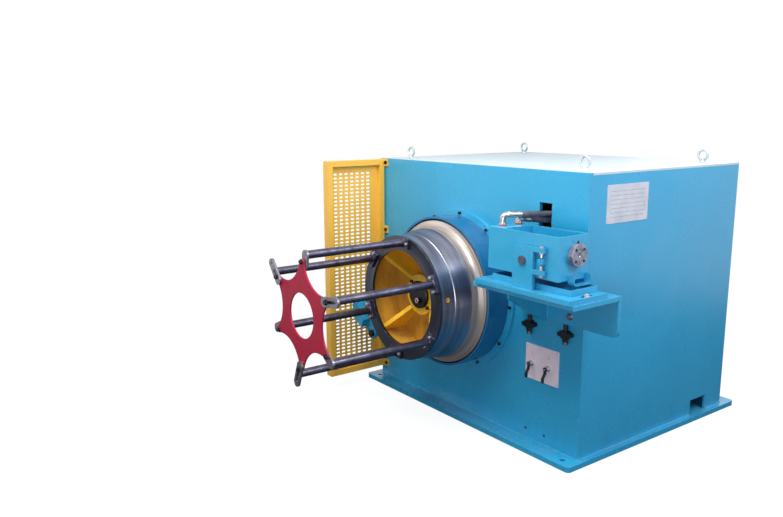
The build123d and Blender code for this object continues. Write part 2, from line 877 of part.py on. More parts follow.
# Adjusting screws above and below the lug of the box, with their heads on the ears.
adjust_reach = cradle_front_reach + cradle_thickness / 2
with BuildPart() as adjusting_screws:
    for side in (1, -1):
        tip_z = adjust_z + side * (adjust_lug_height / 2 + adjust_gap)
        head_z = adjust_z + side * (ear_offset + ear_height / 2)
        with BuildSketch(Plane.XY.offset(tip_z)):
            with Locations((adjust_x_place, ahead(adjust_reach))):
                Circle(adjust_screw_radius)
        extrude(amount=head_z - tip_z)
        with BuildSketch(Plane.XY.offset(head_z)):
            with Locations((adjust_x_place, ahead(adjust_reach))):
                RegularPolygon(adjust_head_radius, 6)
        extrude(amount=side * adjust_head_height)
adjusting_screws.part.label = "adjusting_screws"
export_step(adjusting_screws.part, "parts/adjusting_screws.step")

# Die holder: a solid block at the left end that the wire leaves by.
box_x = station_x + box_left
box_right = box_x + box_width
box_y = ahead((box_near + box_far) / 2)
soap_left = box_x + holder_width
with BuildPart() as die_holder_block:
    with BuildSketch(Plane.XY.offset(box_bottom)):
        with Locations(((box_x + soap_left) / 2, box_y)):
            Rectangle(holder_width, box_depth)
    extrude(amount=box_height)
    with BuildSketch(across(box_x)):
        with Locations((ahead(wire_line_reach), wire_z)):
            Circle(die_bore_radius)
    extrude(amount=holder_width, mode=Mode.SUBTRACT)
die_holder_block.part.label = "die_holder_block"
export_step(die_holder_block.part, "parts/die_holder_block.step")

# Soap box against the holder: floor, front, back and right walls, open at the top.
with BuildPart() as die_box:
    with BuildSketch(Plane.XY.offset(box_bottom)):
        with Locations(((soap_left + box_right) / 2, box_y)):
            Rectangle(box_right - soap_left, box_depth)
    extrude(amount=box_height)
    with BuildSketch(Plane.XY.offset(box_bottom + box_floor)):
        with Locations(((soap_left + box_right - box_wall) / 2, box_y)):
            Rectangle(box_right - box_wall - soap_left, box_depth - 2 * box_wall)
    extrude(amount=box_height, mode=Mode.SUBTRACT)
    with BuildSketch(across(box_right - box_wall)):
        with Locations((ahead(wire_line_reach), wire_z)):
            Circle(die_bore_radius)
    extrude(amount=box_wall, mode=Mode.SUBTRACT)
    with BuildSketch(front(box_near)):
        with Locations((cradle_x, pin_z)):
            Circle(pin_radius + fit_gap)
    extrude(amount=box_depth, mode=Mode.SUBTRACT)
    with BuildSketch(front(box_far)):
        with Locations((adjust_x_place, adjust_z)):
            Rectangle(adjust_lug_width, adjust_lug_height)
    extrude(amount=cradle_gap + cradle_thickness)
die_box.part.label = "die_box"
export_step(die_box.part, "parts/die_box.step")

# Round inlet disc where the wire enters, on the right end of the box.
with BuildPart() as inlet_disc:
    with BuildSketch(across(box_right)):
        with Locations((ahead(wire_line_reach), wire_z)):
            Circle(disc_face_radius)
            Circle(disc_face_bore, mode=Mode.SUBTRACT)
    extrude(amount=disc_face_thickness)
    disc_rim = inlet_disc.edges().filter_by(GeomType.CIRCLE).group_by(Axis.X)[-1].sort_by(SortBy.LENGTH)[-1]
    chamfer(disc_rim, length=disc_face_chamfer)
inlet_disc.part.label = "inlet_disc"
export_step(inlet_disc.part, "parts/inlet_disc.step")

# Open spout under the disc, with its two lower corners rounded.
spout_z = box_bottom - spout_drop
with BuildPart() as drip_spout:
    with BuildSketch(across(box_right)):
        with Locations((ahead(spout_reach), spout_z + spout_height)):
            RectangleRounded(spout_width, 2 * spout_height, spout_corner)
            RectangleRounded(
                spout_width - 2 * spout_wall,
                2 * (spout_height - spout_wall),
                spout_corner - spout_wall,
                mode=Mode.SUBTRACT,
            )
            with Locations((0, spout_height)):
                Rectangle(spout_width, 2 * spout_height, mode=Mode.SUBTRACT)
    extrude(amount=spout_length)
drip_spout.part.label = "drip_spout"
export_step(drip_spout.part, "parts/drip_spout.step")

# Elbow fittings on the box, with a crimped ferrule for each hose, and the couplings at the inner ends.
hose_x = station_x + fitting_x


def hose_line(number):
    """Elbow corner and inner end of one hose, which runs straight between them through the window."""
    elbow = Vector(hose_x, ahead(hose_reaches[number]), box_top + hose_rises[number])
    entry = Vector(window_x + hose_window_x[number], front_face, window_z + hose_window_z[number])
    along = (entry - elbow).normalized()
    return elbow, entry + along * hose_tail, along


with BuildPart() as hose_fittings:
    for number in range(len(hose_reaches)):
        elbow, end, along = hose_line(number)
        with BuildSketch(Plane.XY.offset(box_top)):
            with Locations((elbow.X, elbow.Y)):
                RegularPolygon(fitting_base_radius, 6)
        extrude(amount=fitting_base_height)
        with BuildSketch(Plane.XY.offset(box_top + fitting_base_height)):
            with Locations((elbow.X, elbow.Y)):
                Circle(fitting_radius)
        extrude(amount=hose_rises[number] - fitting_base_height)
        with Locations(elbow):
            Sphere(elbow_radius)
        with BuildSketch(Plane(origin=elbow, z_dir=along)):
            Circle(fitting_radius)
        extrude(amount=fitting_mouth)
        with BuildSketch(Plane(origin=elbow + along * fitting_mouth, z_dir=along)):
            Circle(ferrule_radius)
        extrude(amount=ferrule_lengths[number])
        with BuildSketch(Plane(origin=end, z_dir=along)):
            RegularPolygon(coupling_radius, 6)
        extrude(amount=coupling_length)
hose_fittings.part.label = "hose_fittings"
export_step(hose_fittings.part, "parts/hose_fittings.step")

# Hoses from the ferrules straight through the window to the couplings inside.
with BuildPart() as hoses:
    for number in range(len(hose_reaches)):
        elbow, end, along = hose_line(number)
        hose_start = elbow + along * (fitting_mouth + ferrule_lengths[number])
        with BuildSketch(Plane(origin=hose_start, z_dir=along)):
            Circle(hose_radius)
        extrude(amount=(end - hose_start).length)
hoses.part.label = "hoses"
export_step(hoses.part, "parts/hoses.step")

# Valve plate with two ball valve stems, each with a bent lever hanging down.
valve_plate_x = station_x + valve_plate_left + valve_plate_width / 2
valve_plate_z = base_thickness + valve_plate_above_base + valve_plate_height / 2
with BuildPart() as valve_plate:
    with BuildSketch(front(0)):
        with Locations((valve_plate_x, valve_plate_z)):
            RectangleRounded(valve_plate_width, valve_plate_height, valve_plate_thickness)
    extrude(amount=valve_plate_thickness)
valve_plate.part.label = "valve_plate"
export_step(valve_plate.part, "parts/valve_plate.step")

valve_z = base_thickness + valve_above_base
with BuildPart() as valve_stems:
    for valve in valve_positions:
        with BuildSketch(front(valve_plate_thickness)):
            with Locations((station_x + valve, valve_z)):
                RegularPolygon(valve_nut_radius, 6)
        extrude(amount=valve_nut_length)
        with BuildSketch(front(valve_plate_thickness + valve_nut_length)):
            with Locations((station_x + valve, valve_z)):
                Circle(valve_stem_radius)
        extrude(amount=valve_stem_length - valve_nut_length)
        with BuildSketch(front(valve_plate_thickness + valve_stem_length)):
            with Locations((station_x + valve, valve_z)):
                Circle(valve_spigot_radius)
        extrude(amount=valve_spigot_length)
valve_stems.part.label = "valve_stems"
export_step(valve_stems.part, "parts/valve_stems.step")

lever_reach = valve_plate_thickness + valve_stem_length + fit_gap


def valve_lever(x):
    """Lever of one valve: a round hub on the spigot and a strap that hangs down and leans forward."""
    with BuildPart() as lever:
        with BuildSketch(front(lever_reach)):
            with Locations((x, valve_z)):
                Circle(lever_hub_radius)
        extrude(amount=lever_thickness)
        with BuildSketch(across(x - lever_width / 2)):
            with BuildLine():
                Polyline(
                    (ahead(lever_reach), valve_z),
                    (ahead(lever_reach), valve_z - lever_length / 3),
                    (ahead(lever_reach + lever_bend), valve_z - 2 * lever_length / 3),
                    (ahead(lever_reach + lever_bend), valve_z - lever_length),
                    (ahead(lever_reach + lever_bend + lever_thickness), valve_z - lever_length),
                    (ahead(lever_reach + lever_bend + lever_thickness), valve_z - 2 * lever_length / 3),
                    (ahead(lever_reach + lever_thickness), valve_z - lever_length / 3),
                    (ahead(lever_reach + lever_thickness), valve_z),
                    close=True,
                )
            make_face()
        extrude(amount=lever_width)
        with BuildSketch(front(lever_reach)):
            with Locations((x, valve_z)):
                Circle(valve_spigot_radius + fit_gap)
        extrude(amount=lever_thickness, mode=Mode.SUBTRACT)
    return lever.part


for lever_name, valve in zip(("valve_lever_left", "valve_lever_right"), valve_positions):
    lever_part = valve_lever(station_x + valve)
    lever_part.label = lever_name
    export_step(lever_part, f"parts/{lever_name}.step")
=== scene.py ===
import json
import math

import bmesh
import bpy
from mathutils import Matrix, Vector


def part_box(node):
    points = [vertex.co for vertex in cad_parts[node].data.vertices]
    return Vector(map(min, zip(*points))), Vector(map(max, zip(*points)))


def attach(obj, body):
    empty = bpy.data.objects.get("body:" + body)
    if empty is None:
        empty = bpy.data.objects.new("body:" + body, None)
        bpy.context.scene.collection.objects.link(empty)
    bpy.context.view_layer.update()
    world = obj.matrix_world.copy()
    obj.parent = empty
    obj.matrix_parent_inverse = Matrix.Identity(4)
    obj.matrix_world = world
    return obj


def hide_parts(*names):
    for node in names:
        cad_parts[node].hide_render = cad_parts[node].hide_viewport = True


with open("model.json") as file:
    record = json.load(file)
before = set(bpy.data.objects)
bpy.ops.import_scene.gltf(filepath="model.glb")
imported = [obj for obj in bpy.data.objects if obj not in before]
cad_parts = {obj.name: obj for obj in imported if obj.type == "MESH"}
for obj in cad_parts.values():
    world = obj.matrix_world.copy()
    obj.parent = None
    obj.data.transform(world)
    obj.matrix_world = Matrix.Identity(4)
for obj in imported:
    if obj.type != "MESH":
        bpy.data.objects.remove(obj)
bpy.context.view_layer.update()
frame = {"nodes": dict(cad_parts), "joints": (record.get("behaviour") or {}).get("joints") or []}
print("frame loaded:", len(frame["nodes"]), "nodes")


# places read from the frame, in metres
def low(node):
    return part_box(node)[0]


def high(node):
    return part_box(node)[1]


def middle(node):
    return (low(node) + high(node)) / 2


drumJoint = next(joint for joint in frame["joints"] if joint["name"] == "drum_spin")
drumAxis = Vector(drumJoint["pos_m"])
forward = Vector((0, -1, 0))
rightward = Vector((1, 0, 0))
upward = Vector((0, 0, 1))
frontFace = low("front_plate").y
sideFace = high("right_side_plate").x
roofTop = high("top_cover").z
floorTop = high("base_plate").z


def ahead(reach):
    return frontFace - reach


def spoke(turn):
    return Vector((math.cos(turn), 0, math.sin(turn)))


def roundDrum(radius, angle, y):
    turn = math.radians(angle)
    return Vector((drumAxis.x + radius * math.cos(turn), y, drumAxis.z + radius * math.sin(turn)))


# shader helpers
def paintColour(code):
    parts = [int(code[place:place + 2], 16) / 255 for place in (0, 2, 4)]
    linear = [part / 12.92 if part <= 0.04045 else ((part + 0.055) / 1.055) ** 2.4 for part in parts]
    return (*linear, 1)


def feed(tree, socket, value):
    if isinstance(value, bpy.types.NodeSocket):
        tree.links.new(value, socket)
    else:
        socket.default_value = value


def feedAll(tree, node, values):
    for key, value in values.items():
        feed(tree, node.inputs[key], value)


def addNode(tree, kind, inputs=None, **settings):
    node = tree.nodes.new("ShaderNode" + kind)
    for key, value in settings.items():
        setattr(node, key, value)
    feedAll(tree, node, inputs or {})
    return node


def placeGroup(tree, group, inputs):
    return addNode(tree, "Group", inputs, node_tree=group).outputs


def mixColour(tree, factor, first, second, blend="MIX"):
    inputs = {0: factor, 6: first, 7: second}  # the factor and the two colours of a Mix node
    return addNode(tree, "Mix", inputs, data_type="RGBA", blend_type=blend).outputs[2]


def sums(tree, operation, first, second=0.0):
    return addNode(tree, "Math", {0: first, 1: second}, operation=operation).outputs[0]


def times(tree, first, second):
    return sums(tree, "MULTIPLY", first, second)


def vectorSums(tree, operation, first, second):
    return addNode(tree, "VectorMath", {0: first, 1: second}, operation=operation).outputs


def spread(tree, value, start, end, least=0.0, most=1.0):
    inputs = {"Value": value, "From Min": start, "From Max": end, "To Min": least, "To Max": most}
    return addNode(tree, "MapRange", inputs).outputs["Result"]


def noise(tree, vector, scale, detail, roughness=0.5):
    inputs = {"Vector": vector, "Scale": scale, "Detail": detail, "Roughness": roughness}
    return addNode(tree, "TexNoise", inputs).outputs[0]


def bump(tree, strength, distance, height, normal=None):
    node = addNode(tree, "Bump", {"Strength": strength, "Distance": distance, "Height": height})
    if normal is not None:
        feed(tree, node.inputs["Normal"], normal)
    return node.outputs[0]


def shining(tree, kind, strength, colour=(1, 1, 1, 1)):
    return addNode(tree, kind, {"Color": colour, "Strength": strength}).outputs[0]


def mixShaders(tree, factor, first, second):
    return addNode(tree, "MixShader", {0: factor, 1: first, 2: second}).outputs[0]


def objectPlace(tree):
    return addNode(tree, "TexCoord").outputs["Object"]


def axes(tree, vector):
    return addNode(tree, "SeparateXYZ", {0: vector}).outputs


def joined(tree, x, y, z):
    return addNode(tree, "CombineXYZ", {"X": x, "Y": y, "Z": z}).outputs[0]


def newGroup(name, inputs, outputs):
    tree = bpy.data.node_groups.new(name, "ShaderNodeTree")
    for label, kind, value in inputs:
        socket = tree.interface.new_socket(label, in_out="INPUT", socket_type="NodeSocket" + kind)
        socket.default_value = value
    for label, kind in outputs:
        tree.interface.new_socket(label, in_out="OUTPUT", socket_type="NodeSocket" + kind)
    return tree, tree.nodes.new("NodeGroupInput").outputs, tree.nodes.new("NodeGroupOutput").inputs


# in the groups below a noise is scale, detail and roughness, and a span is start and end

# edges lose their paint in patches and show the edge colour; where that colour is light, as on the blue
# housing, the mask paints a highlight along the edges
wearAndHighlightShape = {"samples": 4, "edgeSpan": (0.995, 0.9), "patchDetail": 4.0, "patchSpan": (0.48, 0.62)}
edgeWearAndHighlight, wearAndHighlightIn, wearAndHighlightOut = newGroup(
    "edgeWearAndHighlight",
    [("Radius", "Float", 0.0015), ("Amount", "Float", 0.4), ("Patches", "Float", 30.0)],
    [("Mask", "Float"), ("Normal", "Vector")],
)
rounded = addNode(edgeWearAndHighlight, "Bevel", {"Radius": wearAndHighlightIn["Radius"]}, samples=wearAndHighlightShape["samples"]).outputs[0]
flat = addNode(edgeWearAndHighlight, "NewGeometry").outputs["Normal"]
edges = spread(edgeWearAndHighlight, vectorSums(edgeWearAndHighlight, "DOT_PRODUCT", rounded, flat)["Value"], *wearAndHighlightShape["edgeSpan"])
patches = noise(edgeWearAndHighlight, objectPlace(edgeWearAndHighlight), wearAndHighlightIn["Patches"], wearAndHighlightShape["patchDetail"])
patchy = times(edgeWearAndHighlight, edges, spread(edgeWearAndHighlight, patches, *wearAndHighlightShape["patchSpan"]))
feed(edgeWearAndHighlight, wearAndHighlightOut["Mask"], times(edgeWearAndHighlight, patchy, wearAndHighlightIn["Amount"]))
feed(edgeWearAndHighlight, wearAndHighlightOut["Normal"], rounded)

# sprayed enamel: slow change of tone and a fine orange peel
filmShape = {"clouds": (2.2, 5.0, 0.6), "cloudSpan": (0.35, 0.7), "deeper": (0.78, 0.82, 0.86, 1),
             "smears": (7.0, 6.0), "smearSpan": (0.3, 0.75), "glossShift": (-0.06, 0.12),
             "peel": (240.0, 1.0), "peelDepth": 0.0006}
paintFilm, filmIn, filmOut = newGroup(
    "paintFilm",
    [("Colour", "Color", (0.5, 0.5, 0.5, 1)), ("Mottle", "Float", 0.1), ("Peel", "Float", 0.05),
     ("Normal", "Vector", (0, 0, 0))],
    [("Color", "Color"), ("Gloss Shift", "Float"), ("Normal", "Vector")],
)
filmPlace = objectPlace(paintFilm)
clouds = spread(paintFilm, noise(paintFilm, filmPlace, *filmShape["clouds"]), *filmShape["cloudSpan"])
deeper = mixColour(paintFilm, 1.0, filmIn["Colour"], filmShape["deeper"], "MULTIPLY")
cloudShare = times(paintFilm, clouds, filmIn["Mottle"])
feed(paintFilm, filmOut["Color"], mixColour(paintFilm, cloudShare, filmIn["Colour"], deeper))
smears = noise(paintFilm, filmPlace, *filmShape["smears"])
glossShift = spread(paintFilm, smears, *filmShape["smearSpan"], *filmShape["glossShift"])
feed(paintFilm, filmOut["Gloss Shift"], glossShift)
peel = noise(paintFilm, filmPlace, *filmShape["peel"])
peelBump = bump(paintFilm, filmIn["Peel"], filmShape["peelDepth"], peel, filmIn["Normal"])
feed(paintFilm, filmOut["Normal"], peelBump)

# soil, dust and shade: a streaked darker colour low down, which is soil on most paints and painted shade on
# the blue housing and inside the drum; pale dust on what faces up
soilAndShadeShape = {"streakStretch": (9.0, 9.0, 3.0), "streaks": (1.4, 7.0, 0.65), "streakSpan": (0.42, 0.7),
             "specks": (60.0, 3.0), "speckSpan": (0.62, 0.74), "speckShare": 0.35,
             "upSpan": (0.7, 1.0), "dustColour": (0.55, 0.55, 0.53, 1)}
soilDustAndShade, soilAndShadeIn, soilAndShadeOut = newGroup(
    "soilDustAndShade",
    [("Colour", "Color", (0.5, 0.5, 0.5, 1)), ("Soil And Shade Colour", "Color", (0.05, 0.05, 0.05, 1)),
     ("Soil And Shade", "Float", 0.3), ("Dust", "Float", 0.2), ("Height", "Float", 0.3)],
    [("Color", "Color"), ("Mask", "Float")],
)
soilAndShadePlace = objectPlace(soilDustAndShade)
lowShare = sums(soilDustAndShade, "DIVIDE", axes(soilDustAndShade, soilAndShadePlace)["Z"], soilAndShadeIn["Height"])
nearFloor = spread(soilDustAndShade, lowShare, 1.0, 0.0)
streakInputs = {"Vector": soilAndShadePlace, "Scale": soilAndShadeShape["streakStretch"]}
streaks = noise(soilDustAndShade, addNode(soilDustAndShade, "Mapping", streakInputs).outputs[0], *soilAndShadeShape["streaks"])
streaky = spread(soilDustAndShade, streaks, *soilAndShadeShape["streakSpan"])
specks = spread(soilDustAndShade, noise(soilDustAndShade, soilAndShadePlace, *soilAndShadeShape["specks"]), *soilAndShadeShape["speckSpan"])
speckShare = times(soilDustAndShade, specks, soilAndShadeShape["speckShare"])
soilAndShadeMask = sums(soilDustAndShade, "MAXIMUM", times(soilDustAndShade, nearFloor, streaky), speckShare)
soilAndShadeShare = times(soilDustAndShade, soilAndShadeMask, soilAndShadeIn["Soil And Shade"])
soiledAndShadedColour = mixColour(soilDustAndShade, soilAndShadeShare, soilAndShadeIn["Colour"], soilAndShadeIn["Soil And Shade Colour"])
faceUp = axes(soilDustAndShade, addNode(soilDustAndShade, "NewGeometry").outputs["Normal"])["Z"]
dusty = times(soilDustAndShade, spread(soilDustAndShade, faceUp, *soilAndShadeShape["upSpan"]), streaky)
dustShare = times(soilDustAndShade, dusty, soilAndShadeIn["Dust"])
feed(soilDustAndShade, soilAndShadeOut["Color"], mixColour(soilDustAndShade, dustShare, soiledAndShadedColour, soilAndShadeShape["dustColour"]))
feed(soilDustAndShade, soilAndShadeOut["Mask"], sums(soilDustAndShade, "MAXIMUM", soilAndShadeShare, dustShare))

# lathe rings round a centre line that runs along Y, or along X
ringShape = {"turnScale": 1.5, "rings": (1.0, 2.0), "bandStretch": (0.06, 0.06, 0.6), "bands": (1.0, 3.0),
             "ringDepth": 0.0005}
turnedRings, ringIn, ringOut = newGroup(
    "turnedRings",
    [("Centre", "Vector", (0, 0, 0)), ("Fineness", "Float", 900.0), ("Depth", "Float", 0.1),
     ("Along X", "Float", 0.0), ("Normal", "Vector", (0, 0, 0))],
    [("Grain", "Float"), ("Bands", "Float"), ("Normal", "Vector")],
)
offset = vectorSums(turnedRings, "SUBTRACT", objectPlace(turnedRings), ringIn["Centre"])[0]
straight = axes(turnedRings, offset)
crossed = joined(turnedRings, straight["Y"], straight["X"], straight["Z"])
axisInputs = {0: ringIn["Along X"], 4: offset, 5: crossed}  # the factor and the two vectors of a Mix node
chosen = axes(turnedRings, addNode(turnedRings, "Mix", axisInputs, data_type="VECTOR").outputs[1])
squares = [times(turnedRings, chosen[axis], chosen[axis]) for axis in ("X", "Z")]
radius = sums(turnedRings, "SQRT", sums(turnedRings, "ADD", *squares))
turnAngle = sums(turnedRings, "ARCTAN2", chosen["Z"], chosen["X"])
ringVector = joined(
    turnedRings,
    times(turnedRings, radius, ringIn["Fineness"]),
    times(turnedRings, chosen["Y"], ringIn["Fineness"]),
    times(turnedRings, turnAngle, ringShape["turnScale"]),
)
rings = noise(turnedRings, ringVector, *ringShape["rings"])
bandVector = vectorSums(turnedRings, "MULTIPLY", ringVector, ringShape["bandStretch"])[0]
ringBump = bump(turnedRings, ringIn["Depth"], ringShape["ringDepth"], rings, ringIn["Normal"])
feed(turnedRings, ringOut["Grain"], rings)
feed(turnedRings, ringOut["Bands"], noise(turnedRings, bandVector, *ringShape["bands"]))
feed(turnedRings, ringOut["Normal"], ringBump)

# straight grain of rolled, drawn or brushed metal
grainShape = {"grain": (1.0, 3.0), "smudge": (18.0, 5.0, 0.6), "grainDepth": 0.0004}
drawnGrain, grainIn, grainOut = newGroup(
    "drawnGrain",
    [("Stretch", "Vector", (8, 400, 400)), ("Depth", "Float", 0.1), ("Normal", "Vector", (0, 0, 0))],
    [("Grain", "Float"), ("Smudge", "Float"), ("Normal", "Vector")],
)
grainPlace = objectPlace(drawnGrain)
stretched = vectorSums(drawnGrain, "MULTIPLY", grainPlace, grainIn["Stretch"])[0]
grain = noise(drawnGrain, stretched, *grainShape["grain"])
grainBump = bump(drawnGrain, grainIn["Depth"], grainShape["grainDepth"], grain, grainIn["Normal"])
feed(drawnGrain, grainOut["Grain"], grain)
feed(drawnGrain, grainOut["Smudge"], noise(drawnGrain, grainPlace, *grainShape["smudge"]))
feed(drawnGrain, grainOut["Normal"], grainBump)
print("shader groups built")


# materials
def startMaterial(name):
    material = bpy.data.materials.new(name)
    material.use_nodes = True
    tree = material.node_tree
    tree.nodes.clear()
    shader = addNode(tree, "BsdfPrincipled")
    addNode(tree, "OutputMaterial", {"Surface": shader.outputs[0]})
    return material, tree, shader


# the look that all paints share, and where each one differs
paintBase = {"roughness": 0.38, "coat": 0.0, "coatRoughness": 0.14, "specular": 0.35, "mottle": 0.4,
             "peel": 0.10, "wearAndHighlight": 0.5, "edge": 0.0020, "soilAndShade": 0.3, "soilAndShadeRoughness": 0.3, "dust": 0.10,
             "height": 1.0, "soilAndShadeColour": "2A2622"}
paintLooks = {
    # on the blue housing the light edge colour is a painted highlight along the edges
    "bluePaint": {"colour": "2C9ECC", "under": "8CCBE2", "roughness": 0.27, "coat": 0.45, "mottle": 0.35,
                  # the deep blue soil colour low down is painted shade that darkens the blue towards the
                  # floor, streaked like dirt
                  "soilAndShade": 0.15, "height": 0.35, "soilAndShadeColour": "1F3E5C"},
    # a darker copy of the housing blue: painted shade on the collar
    "shadedCollarBlue": {"colour": "1A679A", "under": "0E3450", "roughness": 0.25, "coat": 0.2, "mottle": 0.35,
                   "dust": 0.08, "height": 0.35},
    # the pale top colour is a painted reflection of the bright glare on the roof
    "glarePaleCover": {"colour": "BECBD5", "under": "9DB9C9", "roughness": 0.42, "specular": 0.15,
                  "mottle": 0.25, "peel": 0.08, "wearAndHighlight": 0.3, "soilAndShade": 0.10, "height": 0.3},
    "guardYellow": {"colour": "F2BA48", "under": "8A5A14", "roughness": 0.33, "coat": 0.25, "mottle": 0.3,
                    "edge": 0.0016, "dust": 0.12, "height": 0.5},
    # a brighter copy of the yellow paint: painted light that lifts the ribs, the hub and the wire hole's lip
    # out of the drum's shade
    "litRibYellow": {"colour": "FFC42E", "under": "6A4412", "roughness": 0.36, "coat": 0.15, "mottle": 0.5,
                  "peel": 0.14, "wearAndHighlight": 0.4, "soilAndShade": 0.35, "height": 2.5},
    # a darker, heavily soiled copy of the yellow paint: painted shade for the inside of the drum
    "shadedDrumYellow": {"colour": "DCA43E", "under": "5A3A10", "coat": 0.15, "mottle": 0.6, "peel": 0.14,
                   "wearAndHighlight": 0.4, "soilAndShade": 0.6, "height": 2.5},
    "starRed": {"colour": "B2163C", "under": "3A1018", "roughness": 0.48, "wearAndHighlight": 0.8, "edge": 0.0016,
                "dust": 0.05, "height": 1.2},
    "darkEnamel": {"colour": "121219", "under": "45464C", "peel": 0.12, "wearAndHighlight": 0.6, "edge": 0.0010,
                   "soilAndShade": 0.1, "dust": 0.0},
    "capEnamel": {"colour": "08090B", "under": "2A2B30", "roughness": 0.30, "mottle": 0.3, "wearAndHighlight": 0.3,
                  "edge": 0.0010, "soilAndShade": 0.2, "dust": 0.0},
    "sealRed": {"colour": "B5283A", "under": "4A1018", "roughness": 0.4, "mottle": 0.2, "peel": 0.05,
                "wearAndHighlight": 0.2, "edge": 0.0005, "soilAndShade": 0.2, "dust": 0.0},
}


def makePaint(name, ownLook):
    look = {**paintBase, **ownLook}
    material, tree, shader = startMaterial(name)
    wearAndHighlight = placeGroup(tree, edgeWearAndHighlight, {"Radius": look["edge"], "Amount": look["wearAndHighlight"]})
    film = placeGroup(tree, paintFilm, {"Colour": paintColour(look["colour"]), "Mottle": look["mottle"],
                                        "Peel": look["peel"], "Normal": wearAndHighlight["Normal"]})
    # on the blue housing and in the drum's darker yellow, the soil colour low down is painted shade
    soilAndShade = placeGroup(tree, soilDustAndShade, {"Colour": film["Color"], "Soil And Shade Colour": paintColour(look["soilAndShadeColour"]),
                                       "Soil And Shade": look["soilAndShade"], "Dust": look["dust"], "Height": look["height"]})
    rough = sums(tree, "ADD", film["Gloss Shift"], look["roughness"])
    rough = sums(tree, "ADD", rough, times(tree, soilAndShade["Mask"], look["soilAndShadeRoughness"]))
    # the edge colour goes where the edge mask is; on the blue housing this paints a highlight on the edges
    looks = {"Base Color": mixColour(tree, wearAndHighlight["Mask"], soilAndShade["Color"], paintColour(look["under"])),
             "Roughness": rough, "Normal": film["Normal"], "Coat Weight": look["coat"],
             "Coat Roughness": look["coatRoughness"], "Specular IOR Level": look["specular"]}
    feedAll(tree, shader, looks)
    return material


# "rough" is the roughness of the light tone, then of the dark one
metalBase = {"metal": 1.0, "wearAndHighlight": 0.7, "edge": 0.0010, "patches": 60.0, "worn": "C8C8CC", "depth": 0.10,
             "toneShare": 0.6, "toneSpan": (0.35, 0.65), "centre": drumAxis, "alongX": 0.0}
metalLooks = {
    "drumSteel": {"light": "9C9CAA", "dark": "56566A", "rough": (0.27, 0.42), "rings": 500.0,
                  "depth": 0.05, "metal": 0.95, "wearAndHighlight": 0.05},
    "ringFace": {"light": "5A5F6E", "dark": "30333E", "rough": (0.28, 0.5), "rings": 500.0},
    "brightSteel": {"light": "C8BFBB", "dark": "7E7472", "rough": (0.28, 0.46), "rings": 800.0,
                    "depth": 0.14, "metal": 0.62},
    "rodSteel": {"light": "78748A", "dark": "383642", "rough": (0.26, 0.48), "stretch": (300, 6, 300),
                 "depth": 0.12},
    "platedSteel": {"light": "D6D8DC", "dark": "8E9096", "rough": (0.16, 0.34), "stretch": (60, 60, 60),
                    "depth": 0.06, "metal": 0.8},
    "greySteel": {"light": "8F8EA0", "dark": "4E4D58", "rough": (0.24, 0.44), "stretch": (250, 250, 250)},
    "platePolish": {"light": "CFCFDB", "dark": "B6B7C4", "rough": (0.30, 0.38), "stretch": (6, 300, 500),
                    "depth": 0.05, "metal": 0.1},
    # a brighter copy of the plate polish: painted light that lifts the valve plate out of the die box's
    # shade
    "litValvePolish": {"light": "F2E2EE", "dark": "E4D2E0", "rough": (0.30, 0.38), "stretch": (6, 300, 500),
                    "depth": 0.05, "metal": 0.1},
    "linkSteel": {"light": "9E9AA4", "dark": "77747F", "rough": (0.30, 0.48), "stretch": (120, 120, 120)},
    "eyeSteel": {"light": "D2D9DE", "dark": "949CA4", "rough": (0.34, 0.55), "stretch": (60, 60, 60),
                 "metal": 0.45},
    "discSteel": {"light": "A8A8BC", "dark": "5C5D70", "rough": (0.22, 0.40), "rings": 900.0, "depth": 0.16,
                  "centre": middle("inlet_disc"), "alongX": 1.0, "metal": 0.35},
    "fittingMetal": {"light": "CFCBC8", "dark": "7C7A7C", "rough": (0.18, 0.4), "stretch": (180, 180, 180)},
    "darkScrew": {"light": "4A4B52", "dark": "18191C", "rough": (0.3, 0.5), "stretch": (200, 200, 200)},
}


def makeMetal(name, ownLook):
    look = {**metalBase, **ownLook}
    material, tree, shader = startMaterial(name)
    wearAndHighlight = placeGroup(tree, edgeWearAndHighlight, {"Radius": look["edge"], "Amount": look["wearAndHighlight"],
                                       "Patches": look["patches"]})
    finish = {"Depth": look["depth"], "Normal": wearAndHighlight["Normal"]}
    if "rings" in look:
        finish.update({"Centre": look["centre"], "Fineness": look["rings"], "Along X": look["alongX"]})
        grain = placeGroup(tree, turnedRings, finish)
        tone = grain["Bands"]
    else:
        finish["Stretch"] = look["stretch"]
        grain = placeGroup(tree, drawnGrain, finish)
        tone = grain["Smudge"]
    tone = sums(tree, "ADD", times(tree, tone, look["toneShare"]),
                times(tree, grain["Grain"], 1 - look["toneShare"]))
    tone = spread(tree, tone, *look["toneSpan"])
    colour = mixColour(tree, tone, paintColour(look["dark"]), paintColour(look["light"]))
    looks = {"Base Color": mixColour(tree, wearAndHighlight["Mask"], colour, paintColour(look["worn"])),
             "Roughness": spread(tree, tone, 0.0, 1.0, look["rough"][1], look["rough"][0]),
             "Normal": grain["Normal"], "Metallic": look["metal"]}
    feedAll(tree, shader, looks)
    return material


# hose cover: matt rubber with a fine wrapped weave
hoseCover = {"wrap": 160.0, "wander": 1.5, "scuff": (40.0, 4.0), "scuffSpan": (0.4, 0.7), "dark": "42424C",
             "light": "66667A", "depth": 0.35, "height": 0.0008, "roughSpan": (0.3, 0.7),
             "rough": (0.45, 0.65)}


